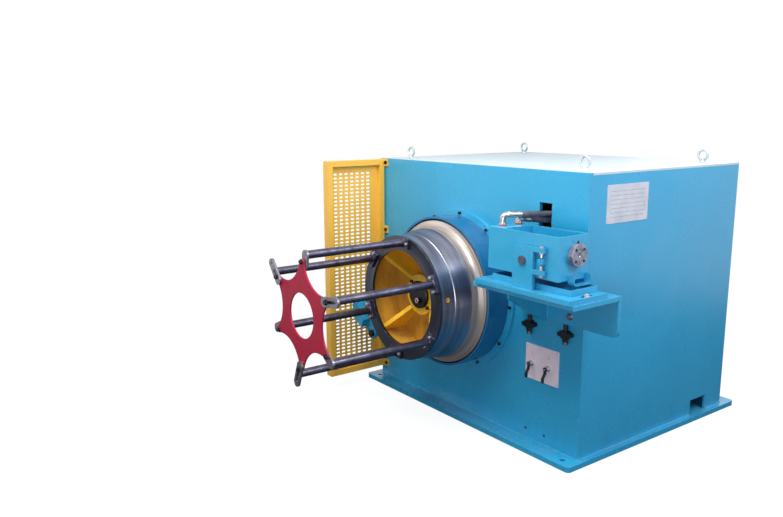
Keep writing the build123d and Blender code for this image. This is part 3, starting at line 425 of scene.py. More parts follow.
def makeHoseCover(look):
    material, tree, shader = startMaterial("hoseCover")
    place = objectPlace(tree)
    wrapInputs = {"Vector": place, "Scale": look["wrap"], "Distortion": look["wander"]}
    wrap = addNode(tree, "TexWave", wrapInputs, bands_direction="DIAGONAL").outputs[1]
    scuff = noise(tree, place, *look["scuff"])
    scuffed = spread(tree, scuff, *look["scuffSpan"])
    looks = {"Base Color": mixColour(tree, scuffed, paintColour(look["dark"]), paintColour(look["light"])),
             "Roughness": spread(tree, scuff, *look["roughSpan"], *look["rough"]),
             "Normal": bump(tree, look["depth"], look["height"], wrap)}
    feedAll(tree, shader, looks)
    return material


materials = {name: makePaint(name, look) for name, look in paintLooks.items()}
materials.update({name: makeMetal(name, look) for name, look in metalLooks.items()})
materials["hoseCover"] = makeHoseCover(hoseCover)
wornBy = {
    "bluePaint": ["base_plate", "front_plate", "back_plate", "left_side_plate", "right_side_plate",
                  "flange_plate", "press_arm", "bracket_plate", "shelf_plate", "shelf_gusset",
                  "slide_plate", "drip_tray", "cradle", "die_holder_block", "die_box", "drip_spout"],
    "shadedCollarBlue": ["collar_ring"],
    "glarePaleCover": ["top_cover"],
    "guardYellow": ["guard_frame", "guard_mesh"],
    "shadedDrumYellow": ["drum_disc"],
    "litRibYellow": ["drum_hub", "hub_ribs"],
    "starRed": ["star_plate"],
    "drumSteel": ["drum_shell"],
    "ringFace": ["drum_front_ring"],
    "brightSteel": ["wire_ring", "spindle", "spindle_cartridge"],
    "rodSteel": ["collector_rods"],
    "linkSteel": ["rod_links"],
    "capEnamel": ["hub_cap"],
    "darkEnamel": ["jack_blocks", "jack_screws", "valve_lever_left", "valve_lever_right", "press_pivot"],
    "platedSteel": ["adjusting_screws", "valve_stems"],
    "eyeSteel": ["eye_bolts"],
    "discSteel": ["inlet_disc"],
    "greySteel": ["pivot_pins"],
    "litValvePolish": ["valve_plate"],
    "hoseCover": ["hoses"],
    "fittingMetal": ["hose_fittings"],
}
for name, nodes in wornBy.items():
    for node in nodes:
        for slot in frame["nodes"][node].material_slots:
            slot.material = materials[name]
print("materials set:", len(materials))


# mesh helpers
def facing(place, direction):
    return Matrix.Translation(place) @ direction.to_track_quat("Z", "Y").to_matrix().to_4x4()


def bridge(bm, near, far):
    count = max(len(near), len(far))  # a ring of one point closes the shape
    for step in range(count):
        after = (step + 1) % count
        corners = [near[step % len(near)], near[after % len(near)],
                   far[after % len(far)], far[step % len(far)]]
        bm.faces.new(list(dict.fromkeys(corners)))


# each point of a profile is radius, height, and "hex" where the ring is six-sided
def lathe(bm, profile, matrix, segments=24):
    rings = []
    for radius, height, *hexed in profile:
        ring = []
        for step in range(segments if radius else 1):
            angle = math.tau * step / segments
            reach = radius
            if hexed:
                reach *= math.cos(math.pi / 6) / math.cos(angle % (math.pi / 3) - math.pi / 6)
            corner = Vector((reach * math.cos(angle), reach * math.sin(angle), height))
            ring.append(bm.verts.new(matrix @ corner))
        rings.append(ring)
    for near, far in zip(rings, rings[1:]):
        bridge(bm, near, far)


def scaled(shape, wide, tall):
    return [(radius * wide, height * tall, *hexed) for radius, height, *hexed in shape]


def sweepTube(bm, points, radii, segments):
    side = None
    rings = []
    turns = [math.tau * step / segments for step in range(segments)]
    for number, (point, reach) in enumerate(zip(points, radii)):
        heading = points[min(number + 1, len(points) - 1)] - points[max(number - 1, 0)]
        heading.normalize()
        if side is None:
            side = heading.orthogonal().normalized()
        side = (side - heading * side.dot(heading)).normalized()
        across = heading.cross(side)
        rings.append([
            bm.verts.new(point + (side * math.cos(turn) + across * math.sin(turn)) * reach)
            for turn in turns
        ])
    for near, far in zip(rings, rings[1:]):
        bridge(bm, near, far)
    bm.faces.new(rings[0][::-1])
    bm.faces.new(rings[-1])


def slab(bm, start, end):
    corners = bmesh.ops.create_cube(bm, size=1)["verts"]
    centre, size = (start + end) / 2, end - start
    for corner in corners:
        corner.co = Vector([centre[axis] + corner.co[axis] * size[axis] for axis in range(3)])


def addMesh(name, bm, body, material, sharp=32):
    bmesh.ops.recalc_face_normals(bm, faces=bm.faces)
    mesh = bpy.data.meshes.new(name)
    bm.to_mesh(mesh)
    bm.free()
    mesh.polygons.foreach_set("use_smooth", [True] * len(mesh.polygons))
    mesh.set_sharp_from_angle(angle=math.radians(sharp))
    mesh.materials.append(materials[material])
    piece = bpy.data.objects.new(name, mesh)
    bpy.context.scene.collection.objects.link(piece)
    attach(piece, body)
    return piece


# washer and hexagon head, in shares of the head's half width
hexShape = {"washer": [(0, 0), (1.25, 0), (1.25, 0.144), (1.2, 0.18), (0, 0.18)],
            "head": [(0, 0.18), (1, 0.18, "hex"), (1, 0.81, "hex"), (0.86, 0.93), (0, 0.93)]}
# socket head, in shares of its radius and height
socketShape = {"bevel": 0.12, "top": 0.88, "bore": 0.6, "boreFoot": 0.56, "boreLow": 0.45, "floor": 0.4}


def hexHead(bm, place, direction, size, turn):
    matrix = facing(place, direction) @ Matrix.Rotation(turn, 4, "Z")
    for shape in hexShape.values():
        lathe(bm, scaled(shape, size, size), matrix)


def socketHead(bm, place, direction, radius, height):
    share = socketShape
    profile = [
        (0, 0), (radius, 0), (radius, height - radius * share["bevel"]),
        (radius * share["top"], height), (radius * share["bore"], height, "hex"),
        (radius * share["boreFoot"], height * share["boreLow"], "hex"), (0, height * share["floor"]),
    ]
    lathe(bm, profile, facing(place, direction))


# lifting eyes: forged ring on a turned collar
liftingEye = {"ring": 0.025, "wire": 0.006, "collar": 0.018, "collarHigh": 0.012, "steps": 48, "parts": 12,
              "collarShape": [(0, 0), (1, 0), (1, 0.55), (0.92, 0.7), (0.55, 0.85), (0.42, 1.3), (0, 1.3)]}
bm = bmesh.new()
eyeLow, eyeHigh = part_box("eye_bolts")
wide, tall = liftingEye["collar"], liftingEye["collarHigh"]
ring, wire = liftingEye["ring"], liftingEye["wire"]
wireTurns = [math.tau * part / liftingEye["parts"] for part in range(liftingEye["parts"])]
for x in (eyeLow.x + ring + wire, eyeHigh.x - ring - wire):
    for y in (eyeLow.y + wide, eyeHigh.y - wide):
        collar = scaled(liftingEye["collarShape"], wide, tall)
        lathe(bm, collar, Matrix.Translation((x, y, roofTop)), 32)
        centre = Vector((x, y, roofTop + tall + ring))
        hoops = []
        for step in range(liftingEye["steps"]):
            outward = spoke(math.tau * step / liftingEye["steps"])
            hoops.append([
                bm.verts.new(centre + outward * (ring + wire * math.cos(turn))
                             + forward * wire * math.sin(turn))
                for turn in wireTurns
            ])
        for near, far in zip(hoops, hoops[1:] + hoops[:1]):
            bridge(bm, near, far)
eyes = addMesh("liftingEyes", bm, "machine", "eyeSteel", 50)
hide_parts("eye_bolts")

# guard sheet with its rounded slots
guardSheet = {"columns": 7, "rows": 50, "pitchY": 0.0368, "pitchZ": 0.0216, "slotLong": 0.024,
              "slotHigh": 0.011, "corner": 0.0045, "arcPoints": 4, "reach": 0.216, "height": 0.715,
              "joinWithin": 0.0001}


def lineUp(start, end, centre, count, pitch):
    centres = [centre + (number - (count - 1) / 2) * pitch for number in range(count)]
    borders = [start] + [(first + second) / 2 for first, second in zip(centres, centres[1:])] + [end]
    return centres, borders


def pierce(bm, x, centre, borders):
    corners, loop = [], []
    radius, count = guardSheet["corner"], guardSheet["arcPoints"]
    for sideY, sideZ, start in ((1, 1, 0), (-1, 1, 90), (-1, -1, 180), (1, -1, 270)):
        corners.append(bm.verts.new((x, borders[0][sideY > 0], borders[1][sideZ > 0])))
        arcY = centre[0] + sideY * (guardSheet["slotLong"] / 2 - radius)
        arcZ = centre[1] + sideZ * (guardSheet["slotHigh"] / 2 - radius)
        for step in range(count):
            angle = math.radians(start + step * 90 / (count - 1))
            loop.append(bm.verts.new((x, arcY + radius * math.cos(angle), arcZ + radius * math.sin(angle))))
    for side in range(4):
        arc = loop[side * count:(side + 1) * count]
        for first, second in zip(arc, arc[1:]):
            bm.faces.new((corners[side], first, second))
        after = loop[(side + 1) * count % len(loop)]
        bm.faces.new((corners[side], arc[-1], after, corners[(side + 1) % 4]))
    return loop


sheetLow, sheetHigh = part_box("guard_mesh")
centresY, bordersY = lineUp(sheetLow.y, sheetHigh.y, ahead(guardSheet["reach"]),
                            guardSheet["columns"], guardSheet["pitchY"])
centresZ, bordersZ = lineUp(sheetLow.z, sheetHigh.z, guardSheet["height"],
                            guardSheet["rows"], guardSheet["pitchZ"])
bm = bmesh.new()
for column, centreY in enumerate(centresY):
    for row, centreZ in enumerate(centresZ):
        borders = (bordersY[column:column + 2], bordersZ[row:row + 2])
        near, far = [pierce(bm, x, (centreY, centreZ), borders) for x in (sheetLow.x, sheetHigh.x)]
        bridge(bm, near, far)
bmesh.ops.remove_doubles(bm, verts=bm.verts, dist=guardSheet["joinWithin"])
sheet = addMesh("guardSheet", bm, "machine", "guardYellow")
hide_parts("guard_mesh")
print("guard sheet cut")

# screws round the flange, on the feet of the rods, on the star and on the links
flangeScrews = {"count": 12, "circle": 0.400, "phase": -3.5, "radius": 0.008, "height": 0.009}
bm = bmesh.new()
for number in range(flangeScrews["count"]):
    angle = flangeScrews["phase"] + number * 360 / flangeScrews["count"]
    place = roundDrum(flangeScrews["circle"], angle, low("flange_plate").y)
    socketHead(bm, place, forward, flangeScrews["radius"], flangeScrews["height"])
addMesh("flangeScrews", bm, "machine", "darkScrew")

spider = {"rods": 6, "phase": 84, "circle": 0.285, "footThick": 0.012, "footScrew": 0.008,
          "footScrewHigh": 0.009, "footAside": 0.034, "starCircle": 0.252, "starShift": 3,
          "linkCircle": 0.258, "linkShift": 1.6, "tipScrew": 0.0105}
footFront = low("drum_front_ring").y - spider["footThick"]
rodAngles = [spider["phase"] + rod * 360 / spider["rods"] for rod in range(spider["rods"])]
bm = bmesh.new()
for angle in rodAngles:
    turn = math.radians(angle)
    aside = Vector((-math.sin(turn), 0, math.cos(turn))) * spider["footAside"]
    rodPlace = roundDrum(spider["circle"], angle, footFront)
    for sign in (-1, 1):
        socketHead(bm, rodPlace + aside * sign, forward, spider["footScrew"], spider["footScrewHigh"])
addMesh("footScrews", bm, "drum", "platedSteel")
bm = bmesh.new()
for rod, angle in enumerate(rodAngles):
    if rod % 2 == 0:
        place = roundDrum(spider["starCircle"], angle + spider["starShift"], low("star_plate").y)
    else:
        place = roundDrum(spider["linkCircle"], angle + spider["linkShift"], low("rod_links").y)
    hexHead(bm, place, forward, spider["tipScrew"], rod)
addMesh("starScrews", bm, "drum", "darkScrew")
print("screws of the spider placed")

# paint inside the drum, a thin liner that stays open at the wire hole, and the hole's lip
drumLiner = {"radius": 0.2908, "skin": 0.0006, "segments": 128, "holeReach": 0.3345, "holeAngle": 8,
             "holeRadius": 0.009, "clearance": 1.2,
             "lipShape": [(0.0080, 0), (0.0088, 0), (0.0088, 0.0220), (0.0112, 0.0222), (0.0110, 0.0228),
                          (0.0080, 0.0226), (0.0080, 0)]}
bm = bmesh.new()
linerBack = low("drum_disc").y
holeMiddle = linerBack - ahead(drumLiner["holeReach"])
holeRadius = drumLiner["holeRadius"]
stops = [0, holeMiddle - holeRadius, holeMiddle + holeRadius, linerBack - high("drum_front_ring").y]
outer = drumLiner["radius"]
inner = outer - drumLiner["skin"]
profile = [(inner, stop) for stop in stops] + [(outer, stop) for stop in stops[::-1]] + [(inner, 0)]
backPlace = Vector((drumAxis.x, linerBack, drumAxis.z))
lathe(bm, profile, facing(backPlace, forward), drumLiner["segments"])
holePlace = roundDrum(outer, drumLiner["holeAngle"], ahead(drumLiner["holeReach"]))
overHole = [face for face in bm.faces
            if (face.calc_center_median() - holePlace).length < holeRadius * drumLiner["clearance"]]
bmesh.ops.delete(bm, geom=overHole, context="FACES")
print("liner faces open at the wire hole:", len(overHole))
addMesh("drumLiner", bm, "drum", "shadedDrumYellow")
bm = bmesh.new()
lathe(bm, drumLiner["lipShape"], facing(holePlace, spoke(math.radians(drumLiner["holeAngle"]))), 32)
addMesh("wireHoleLip", bm, "drum", "litRibYellow", 60)

# two hub screws, and the plug with its bright ring on the boss of the cap
hubParts = {"angles": (-42, 138), "circle": 0.086, "screw": 0.009, "height": 0.010, "aside": 0.013,
            "drop": 0.025, "ring": 0.0138, "plug": 0.0085, "lip": 0.002, "shoulder": 0.0012, "bevel": 0.001,
            "plugShape": [(0, 0), (1, 0), (1, 0.5), (0.5, 0.9), (0, 1)]}
bm = bmesh.new()
for angle in hubParts["angles"]:
    place = roundDrum(hubParts["circle"], angle, low("drum_hub").y)
    socketHead(bm, place, forward, hubParts["screw"], hubParts["height"])
addMesh("hubScrews", bm, "drum", "darkScrew")
bossPlace = Vector((drumAxis.x + hubParts["aside"], low("hub_cap").y, drumAxis.z - hubParts["drop"]))
onBoss = facing(bossPlace, forward)
ring, plug, lip, shoulder, bevel = [hubParts[key] for key in ("ring", "plug", "lip", "shoulder", "bevel")]
bm = bmesh.new()
lathe(bm, [(plug, 0), (ring, 0), (ring, shoulder), (ring - bevel, lip), (plug + bevel, lip),
           (plug, shoulder), (plug, 0)], onBoss, 32)
addMesh("capRing", bm, "drum", "platedSteel")
bm = bmesh.new()
lathe(bm, scaled(hubParts["plugShape"], plug, lip), onBoss, 32)
addMesh("capPlug", bm, "drum", "sealRed", 60)

# die disc: four screws, the die's bright case in the middle and a grease nipple on top
dieDisc = {"screws": 4, "circle": 0.034, "screw": 0.0055, "height": 0.003, "caseDeep": 0.006,
           "caseShape": [(0.0045, 0), (0.0098, 0), (0.0098, 0.002), (0.0088, 0.003), (0.0055, 0.0015),
                         (0.0045, 0)],
           "nippleBack": 0.012, "nippleSink": 0.0005,
           "nippleShape": [(0, 0), (0.005, 0, "hex"), (0.005, 0.005, "hex"), (0.0028, 0.006),
                           (0.0035, 0.010), (0.002, 0.012), (0, 0.012)]}
discMiddle = middle("inlet_disc")
discFace = high("inlet_disc").x
discRadius = (high("inlet_disc").z - low("inlet_disc").z) / 2
bm = bmesh.new()
for number in range(dieDisc["screws"]):
    turn = math.tau * (number + 0.5) / dieDisc["screws"]
    aside = Vector((0, math.cos(turn), math.sin(turn))) * dieDisc["circle"]
    place = Vector((discFace, discMiddle.y, discMiddle.z)) + aside
    socketHead(bm, place, rightward, dieDisc["screw"], dieDisc["height"])
nippleTop = discMiddle.z + discRadius - dieDisc["nippleSink"]
nipplePlace = (discFace - dieDisc["nippleBack"], discMiddle.y, nippleTop)
lathe(bm, dieDisc["nippleShape"], facing(nipplePlace, upward), 18)
addMesh("discScrews", bm, "die_holder", "darkScrew")
bm = bmesh.new()
casePlace = (discFace - dieDisc["caseDeep"], discMiddle.y, discMiddle.z)
lathe(bm, dieDisc["caseShape"], facing(casePlace, rightward), 32)
addMesh("dieCase", bm, "die_holder", "platedSteel")

# lock nuts on the adjusting screws
lockNuts = {"size": 0.0095, "height": 0.006, "bore": 0.0062, "offset": 0.037}
bm = bmesh.new()
screwPlace = middle("adjusting_screws")
size, tall, bore = lockNuts["size"], lockNuts["height"], lockNuts["bore"]
for sign in (1, -1):
    place = (screwPlace.x, screwPlace.y, screwPlace.z + sign * lockNuts["offset"])
    lathe(bm, [(bore, 0), (size, 0, "hex"), (size, tall, "hex"), (bore, tall), (bore, 0)],
          facing(place, upward * -sign))
addMesh("lockNuts", bm, "machine", "platedSteel")

# clamp bolt of the slide plate, bracket bolts, jack tips, guard bolts and plugs low on the front
fasteners = {"clamp": 0.011, "clampX": 0.921, "clampReach": 0.190, "clampTurn": 0.3,
             "bracket": 0.013, "bracketX": (0.455, 0.698), "bracketReach": 0.020, "bracketZ": 0.690,
             "guard": 0.009, "guardAside": 0.064, "guardReach": 0.008, "guardZ": (0.094, 0.911, 1.301),
             "plug": 0.006, "plugHigh": 0.003, "plugX": (0.4375, 0.5566), "plugZ": 0.0725}
jackTips = {"aside": 0.015, "drop": 0.0004, "segments": 28,
            "shape": [(0, 0), (0.01054, 0), (0.0124, 0.0015), (0.0124, 0.013), (0.006, 0.013)]}
bm = bmesh.new()
clampPlace = (fasteners["clampX"], ahead(fasteners["clampReach"]), high("slide_plate").z)
hexHead(bm, clampPlace, upward, fasteners["clamp"], fasteners["clampTurn"])
addMesh("clampBolt", bm, "machine", "platedSteel")
bm = bmesh.new()
for x in fasteners["bracketX"]:
    place = (x, ahead(fasteners["bracketReach"]), fasteners["bracketZ"])
    hexHead(bm, place, forward, fasteners["bracket"], x)
addMesh("bracketBolts", bm, "machine", "greySteel")
bm = bmesh.new()
jackLow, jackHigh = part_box("jack_screws")
for x in (jackLow.x + jackTips["aside"], jackHigh.x - jackTips["aside"]):
    tipPlace = Matrix.Translation((x, middle("jack_screws").y, jackLow.z - jackTips["drop"]))
    lathe(bm, jackTips["shape"], tipPlace, jackTips["segments"])
addMesh("jackTips", bm, "machine", "greySteel")
bm = bmesh.new()
for height in fasteners["guardZ"]:
    place = (low("guard_frame").x + fasteners["guardAside"], ahead(fasteners["guardReach"]), height)
    hexHead(bm, place, forward, fasteners["guard"], height)
addMesh("guardBolts", bm, "machine", "darkScrew")
bm = bmesh.new()
for x in fasteners["plugX"]:
    plugPlace = (x, frontFace, fasteners["plugZ"])
    socketHead(bm, plugPlace, forward, fasteners["plug"], fasteners["plugHigh"])
addMesh("plugScrews", bm, "machine", "darkScrew")

# nameplate on the right side, and the screws of both plates
namePlate = {"near": -0.466, "far": -0.173, "bottom": 1.097, "top": 1.268, "thick": 0.0015,
             "sink": 0.0005, "inset": 0.008, "rivet": 0.0035,
             "rivetShape": [(0, 0), (1, 0), (0.8, 0.35), (0.4, 0.5), (0, 0.55)]}
valvePlate = {"inset": 0.010,
              "screwShape": [(0, 0), (0.0045, 0), (0.004, 0.0018), (0.0015, 0.0026), (0, 0.0026)]}
plateFace = sideFace + namePlate["thick"]
bm = bmesh.new()
slab(bm, Vector((sideFace - namePlate["sink"], namePlate["near"], namePlate["bottom"])),
     Vector((plateFace, namePlate["far"], namePlate["top"])))
addMesh("namePlate", bm, "machine", "platePolish")
bm = bmesh.new()
rivet = scaled(namePlate["rivetShape"], namePlate["rivet"], namePlate["rivet"])
for y in (namePlate["near"] + namePlate["inset"], namePlate["far"] - namePlate["inset"]):
    for z in (namePlate["bottom"] + namePlate["inset"], namePlate["top"] - namePlate["inset"]):
        lathe(bm, rivet, facing((plateFace, y, z), rightward), 16)
valveLow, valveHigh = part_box("valve_plate")
for x in (valveLow.x + valvePlate["inset"], valveHigh.x - valvePlate["inset"]):
    for z in (valveLow.z + valvePlate["inset"], valveHigh.z - valvePlate["inset"]):
        lathe(bm, valvePlate["screwShape"], facing((x, valveLow.y, z), forward), 16)
addMesh("plateScrews", bm, "machine", "platePolish")

# blank ruled lines on the nameplate, and a plain number over each valve
plateMarks = {"rules": 7, "ruleHigh": 0.0012, "ruleThick": 0.0002, "side": 0.025, "first": 0.030,
              "pitch": 0.019, "digitHigh": 0.020, "digitThick": 0.0003, "digitZ": 0.456, "digitAside": 0.014}
bm = bmesh.new()
for row in range(plateMarks["rules"]):
    z = namePlate["top"] - plateMarks["first"] - row * plateMarks["pitch"]
    start = Vector((plateFace - namePlate["sink"], namePlate["near"] + plateMarks["side"], z))
    end = Vector((plateFace + plateMarks["ruleThick"], namePlate["far"] - plateMarks["side"],
                  z + plateMarks["ruleHigh"]))
    slab(bm, start, end)
addMesh("nameplateRules", bm, "machine", "greySteel")
bm = bmesh.new()
stemLow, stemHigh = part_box("valve_stems")
digitsX = (stemLow.x + plateMarks["digitAside"], stemHigh.x - plateMarks["digitAside"])
for digit, x in zip("12", digitsX):
    curve = bpy.data.curves.new("digit", "FONT")
    curve.body, curve.align_x = digit, "CENTER"
    curve.size, curve.extrude = plateMarks["digitHigh"], plateMarks["digitThick"]
    holder = bpy.data.objects.new("digit", curve)
    digitMesh = bpy.data.meshes.new_from_object(holder)
    upright = Matrix.Rotation(math.pi / 2, 4, "X")
    digitMesh.transform(Matrix.Translation((x, valveLow.y, plateMarks["digitZ"])) @ upright)
    bm.from_mesh(digitMesh)
    bpy.data.objects.remove(holder)
    bpy.data.curves.remove(curve)
    bpy.data.meshes.remove(digitMesh)
addMesh("valveNumbers", bm, "machine", "sealRed")
print("plates and fasteners placed")

# hose ends: hexagon base on a red seal, a bent elbow, a nut, a crimped ferrule and the inner coupling
hoseEnds = {"x": 0.461, "reaches": (0.212, 0.114), "rises": (0.048, 0.026), "windowX": (0.527, 0.503),
            "windowZ": (1.130, 1.098), "tail": 0.090, "base": 0.017, "baseTop": 0.86, "baseHigh": 0.010,
            "neck": 1.1, "neckFoot": 0.0015, "neckHigh": 0.004, "seal": 0.003,
            "sealShape": [(0, 0), (1.05, 0), (1.12, 0.5), (1.05, 1), (0, 1)],
            "tube": 0.0138, "bend": 0.020, "bendSpare": 0.002, "bendSteps": 8, "mouth": 0.024,
            "ferrule": 0.0155, "ferrulesLong": (0.066, 0.034), "overlap": 0.008, "ribs": 8, "ribDeep": 0.10,
            "ribGap": 0.001, "ferruleTip": 0.9, "ferruleBore": 0.0128,
            "nutShape": [(0.95, 0, "hex"), (0.95, 0.010, "hex"), (0.8, 0.011), (0.8, 0.013), (1, 0.014)],
            "couplingShape": [(0, 0), (0.017, 0, "hex"), (0.017, 0.014, "hex"), (0.013, 0.015),
                              (0.013, 0.036), (0, 0.036)]}
boxTop = high("die_box").z
base, tall, tube = hoseEnds["base"], hoseEnds["baseHigh"], hoseEnds["tube"]
neck, neckFoot, neckTop = tube * hoseEnds["neck"], tall + hoseEnds["neckFoot"], tall + hoseEnds["neckHigh"]
wide, ribs, overlap = hoseEnds["ferrule"], hoseEnds["ribs"], hoseEnds["overlap"]
nut = scaled(hoseEnds["nutShape"], wide, 1)
nutLong = nut[-1][1]
ends, seals = bmesh.new(), bmesh.new()
for number in (0, 1):
    corner = Vector((hoseEnds["x"], ahead(hoseEnds["reaches"][number]), boxTop + hoseEnds["rises"][number]))
    entry = Vector((hoseEnds["windowX"][number], frontFace, hoseEnds["windowZ"][number]))
    along = (entry - corner).normalized()
    foot = Vector((corner.x, corner.y, boxTop))
    lathe(seals, scaled(hoseEnds["sealShape"], base, hoseEnds["seal"]), Matrix.Translation(foot), 32)
    lathe(ends, [(0, hoseEnds["seal"]), (base, hoseEnds["seal"], "hex"), (base, tall, "hex"),
                 (base * hoseEnds["baseTop"], neckFoot), (neck, neckFoot), (neck, neckTop), (0, neckTop)],
          Matrix.Translation(foot))
    bend = min(hoseEnds["bend"], hoseEnds["rises"][number] - tall - hoseEnds["bendSpare"])
    start, end = corner - upward * bend, corner + along * bend
    shares = [step / hoseEnds["bendSteps"] for step in range(hoseEnds["bendSteps"] + 1)]
    path = [foot + upward * tall]
    path += [start * (1 - t) ** 2 + corner * 2 * t * (1 - t) + end * t ** 2 for t in shares]
    path.append(corner + along * hoseEnds["mouth"])
    sweepTube(ends, path, [tube] * len(path), 20)
    long = hoseEnds["ferrulesLong"][number] + overlap
    ribPitch = (long - nutLong - hoseEnds["ribGap"]) / (ribs + 1)
    crimps = [(wide * (1.0 - hoseEnds["ribDeep"] * (step % 2)), nutLong + ribPitch * (step + 1))
              for step in range(ribs)]
    tip = [(wide * hoseEnds["ferruleTip"], long), (hoseEnds["ferruleBore"], long), (0, long)]
    mouth = corner + along * (hoseEnds["mouth"] - overlap)
    lathe(ends, [(0, 0)] + nut + crimps + tip, facing(mouth, along), 30)
    lathe(ends, hoseEnds["couplingShape"], facing(entry + along * hoseEnds["tail"], along))
hoseMetal = addMesh("hoseEnds", ends, "die_holder", "fittingMetal", 40)
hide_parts("hose_fittings")
addMesh("hoseSeals", seals, "die_holder", "sealRed", 50)

# weld beads along the foot of the housing, under the shelf and round the rods
weld = {"radius": 0.0045, "shelfRadius": 0.004, "rodRadius": 0.0035, "rodRound": 0.0197, "rodSteps": 40,
        "ripple": 0.14, "beat": 1.9, "pitch": 0.0045, "sides": 8, "gap": 0.01, "bracketReach": 0.020}
cablePort = {"near": 0.299, "far": 0.435}


def rippled(radius, count):
    return [radius * (1 + weld["ripple"] * math.sin(step * weld["beat"])) for step in range(count + 1)]


def weldBead(bm, start, end, radius):
    start, end = Vector(start), Vector(end)
    count = max(4, round((end - start).length / weld["pitch"]))
    points = [start.lerp(end, step / count) for step in range(count + 1)]
    sweepTube(bm, points, rippled(radius, count), weld["sides"])


left, right, back = low("front_plate").x, high("front_plate").x, high("back_plate").y
footRuns = [
    ((left, frontFace), (right, frontFace)),
    ((right, frontFace), (right, cablePort["near"] - weld["gap"])),
    ((right, cablePort["far"] + weld["gap"]), (right, back)),
    ((left, frontFace), (left, back)),
    ((left, back), (right, back)),
]
bm = bmesh.new()
for start, end in footRuns:
    weldBead(bm, (*start, floorTop), (*end, floorTop), weld["radius"])
addMesh("footWelds", bm, "machine", "bluePaint", 60)

bm = bmesh.new()
shelfUnder = low("shelf_plate").z
bracketFront = ahead(weld["bracketReach"])
gussetLow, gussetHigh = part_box("shelf_gusset")
shelfRuns = []
for x in (gussetLow.x, gussetHigh.x):
    innerCorner = (x, gussetHigh.y, shelfUnder)
    shelfRuns.append(((x, gussetLow.y + weld["gap"], shelfUnder), innerCorner))
    shelfRuns.append((innerCorner, (x, gussetHigh.y, gussetLow.z + weld["gap"])))
shelfRuns.append(((low("bracket_plate").x, bracketFront, shelfUnder),
                  (high("bracket_plate").x, bracketFront, shelfUnder)))
for start, end in shelfRuns:
    weldBead(bm, start, end, weld["shelfRadius"])
addMesh("shelfWelds", bm, "machine", "bluePaint", 60)

bm = bmesh.new()
steps = weld["rodSteps"]
for angle in rodAngles:
    centre = roundDrum(spider["circle"], angle, footFront)
    points = [centre + spoke(math.tau * step / steps) * weld["rodRound"] for step in range(steps + 1)]
    sweepTube(bm, points, rippled(weld["rodRadius"], steps), weld["sides"])
addMesh("rodWelds", bm, "drum", "rodSteel", 60)
print("welds laid")

# stage: a pale floor that shows the shadow near the machine and fades to white further off
floorLook = {"size": 60.0, "height": -0.0005, "colour": "505358", "roughness": 0.9, "glow": 0.91,
             "fadeStart": 2.2, "fadeEnd": 5.0}


def makeFloor(look):
    material, tree, shader = startMaterial("paleFloor")
    shader.inputs["Base Color"].default_value = paintColour(look["colour"])
    shader.inputs["Roughness"].default_value = look["roughness"]
    lightPath = addNode(tree, "LightPath").outputs
    seen = sums(tree, "MAXIMUM", lightPath["Is Camera Ray"], lightPath["Is Transmission Ray"])
    position = addNode(tree, "NewGeometry").outputs["Position"]
    distance = addNode(tree, "VectorMath", {0: position}, operation="LENGTH").outputs["Value"]
    fadeInputs = {"Value": distance, "From Min": look["fadeStart"], "From Max": look["fadeEnd"]}
    faded = addNode(tree, "MapRange", fadeInputs, interpolation_type="SMOOTHSTEP").outputs["Result"]
    plain = shader.outputs[0]
    glow = shining(tree, "Emission", look["glow"])
    near = addNode(tree, "AddShader", {0: plain, 1: glow}).outputs[0]
    white = shining(tree, "Emission", 1.0)
    shown = mixShaders(tree, faded, near, white)
    farGlossy = times(tree, lightPath["Is Glossy Ray"], faded)  # far off, polish mirrors white too
    mirrored = mixShaders(tree, farGlossy, plain, white)
    blend = mixShaders(tree, seen, mirrored, shown)
    tree.links.new(blend, tree.nodes["Material Output"].inputs["Surface"])
    return material


bm = bmesh.new()
half = floorLook["size"] / 2
floorCorners = ((-1, -1), (1, -1), (1, 1), (-1, 1))
bm.faces.new([bm.verts.new((x * half, y * half, floorLook["height"])) for x, y in floorCorners])
mesh = bpy.data.meshes.new("floor")
bm.to_mesh(mesh)
bm.free()
floor = bpy.data.objects.new("floor", mesh)
bpy.context.scene.collection.objects.link(floor)
floor.data.materials.append(makeFloor(floorLook))

studio = {"soft": (0.86, 0.92, 1.0, 1), "softStrength": 0.36}
world = bpy.data.worlds.new("studio")
world.use_nodes = True
bpy.context.scene.world = world
tree = world.node_tree
tree.nodes.clear()
lightPath = addNode(tree, "LightPath").outputs
mirrored = sums(tree, "MAXIMUM", lightPath["Is Glossy Ray"], lightPath["Is Transmission Ray"])
seen = sums(tree, "MAXIMUM", lightPath["Is Camera Ray"], mirrored)
soft = shining(tree, "Background", studio["softStrength"], studio["soft"])
white = shining(tree, "Background", 1.0)
addNode(tree, "OutputWorld", {"Surface": mixShaders(tree, seen, soft, white)})

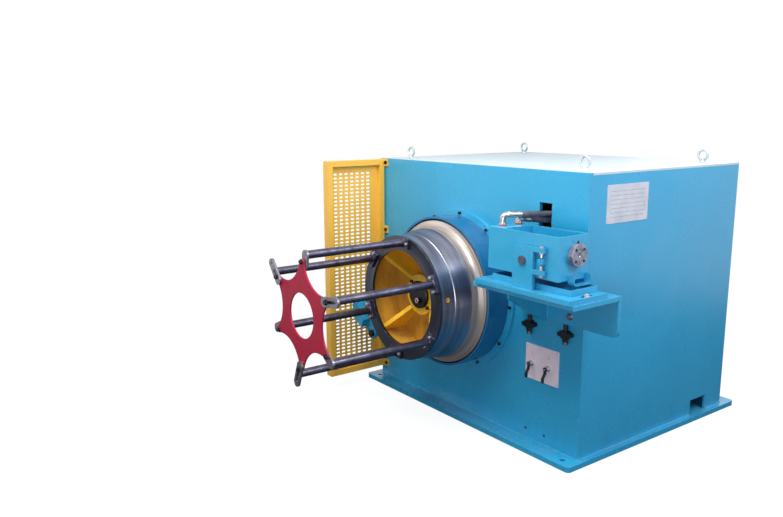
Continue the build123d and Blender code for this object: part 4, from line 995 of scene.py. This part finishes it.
lamps = {
    "keyLamp": {"place": (0.4, -2.0, 3.1), "target": (0.1, -0.6, 1.1), "size": (2.6, 0.9), "power": 88,
                "colour": (1.0, 0.985, 0.88)},
    "sideLamp": {"place": (2.4, 0.0, 2.7), "target": (0.7, 0.0, 0.9), "size": (2.0, 1.4), "power": 56,
                 "colour": (0.90, 0.96, 1.0)},
    "fillLamp": {"place": (2.6, -3.6, 0.9), "target": (0.4, -0.6, 0.9), "size": (2.4, 1.0), "power": 42,
                 "colour": (0.97, 0.98, 1.0)},
    "leftLamp": {"place": (-3.2, -2.6, 2.2), "target": (-0.2, -0.8, 0.7), "size": (1.6, 1.6), "power": 18,
                 "colour": (0.95, 0.97, 1.0)},
    "backLamp": {"place": (-0.6, 3.4, 2.6), "target": (0.0, 0.6, 0.8), "size": (2.4, 1.6), "power": 34,
                 "colour": (0.97, 0.98, 1.0)},
}
for name, lamp in lamps.items():
    data = bpy.data.lights.new(name, "AREA")
    data.shape = "RECTANGLE"
    data.size, data.size_y = lamp["size"]
    data.energy = lamp["power"]
    data.color = lamp["colour"]
    lampObject = bpy.data.objects.new(name, data)
    bpy.context.scene.collection.objects.link(lampObject)
    lampObject.location = lamp["place"]
    aim = Vector(lamp["target"]) - Vector(lamp["place"])
    lampObject.rotation_euler = aim.to_track_quat("-Z", "Y").to_euler()

cameraView = {"place": (2.810, -3.123, 1.5665), "heading": 53.83, "down": 10.84, "roll": -0.209,
              "lens": 34.30, "sensor": 36}
cameraData = bpy.data.cameras.new("camera")
cameraData.sensor_width = cameraView["sensor"]
cameraData.sensor_fit = "HORIZONTAL"
cameraData.lens = cameraView["lens"]
camera = bpy.data.objects.new("camera", cameraData)
bpy.context.scene.collection.objects.link(camera)
turns = ((cameraView["heading"], "Z"), (90 - cameraView["down"], "X"), (cameraView["roll"], "Z"))
aimed = Matrix.Translation(cameraView["place"])
for angle, axis in turns:
    aimed = aimed @ Matrix.Rotation(math.radians(angle), 4, axis)
camera.matrix_world = aimed
bpy.context.scene.camera = camera
bpy.context.scene.view_settings.view_transform = "Standard"
print("stage, lamps and camera set")
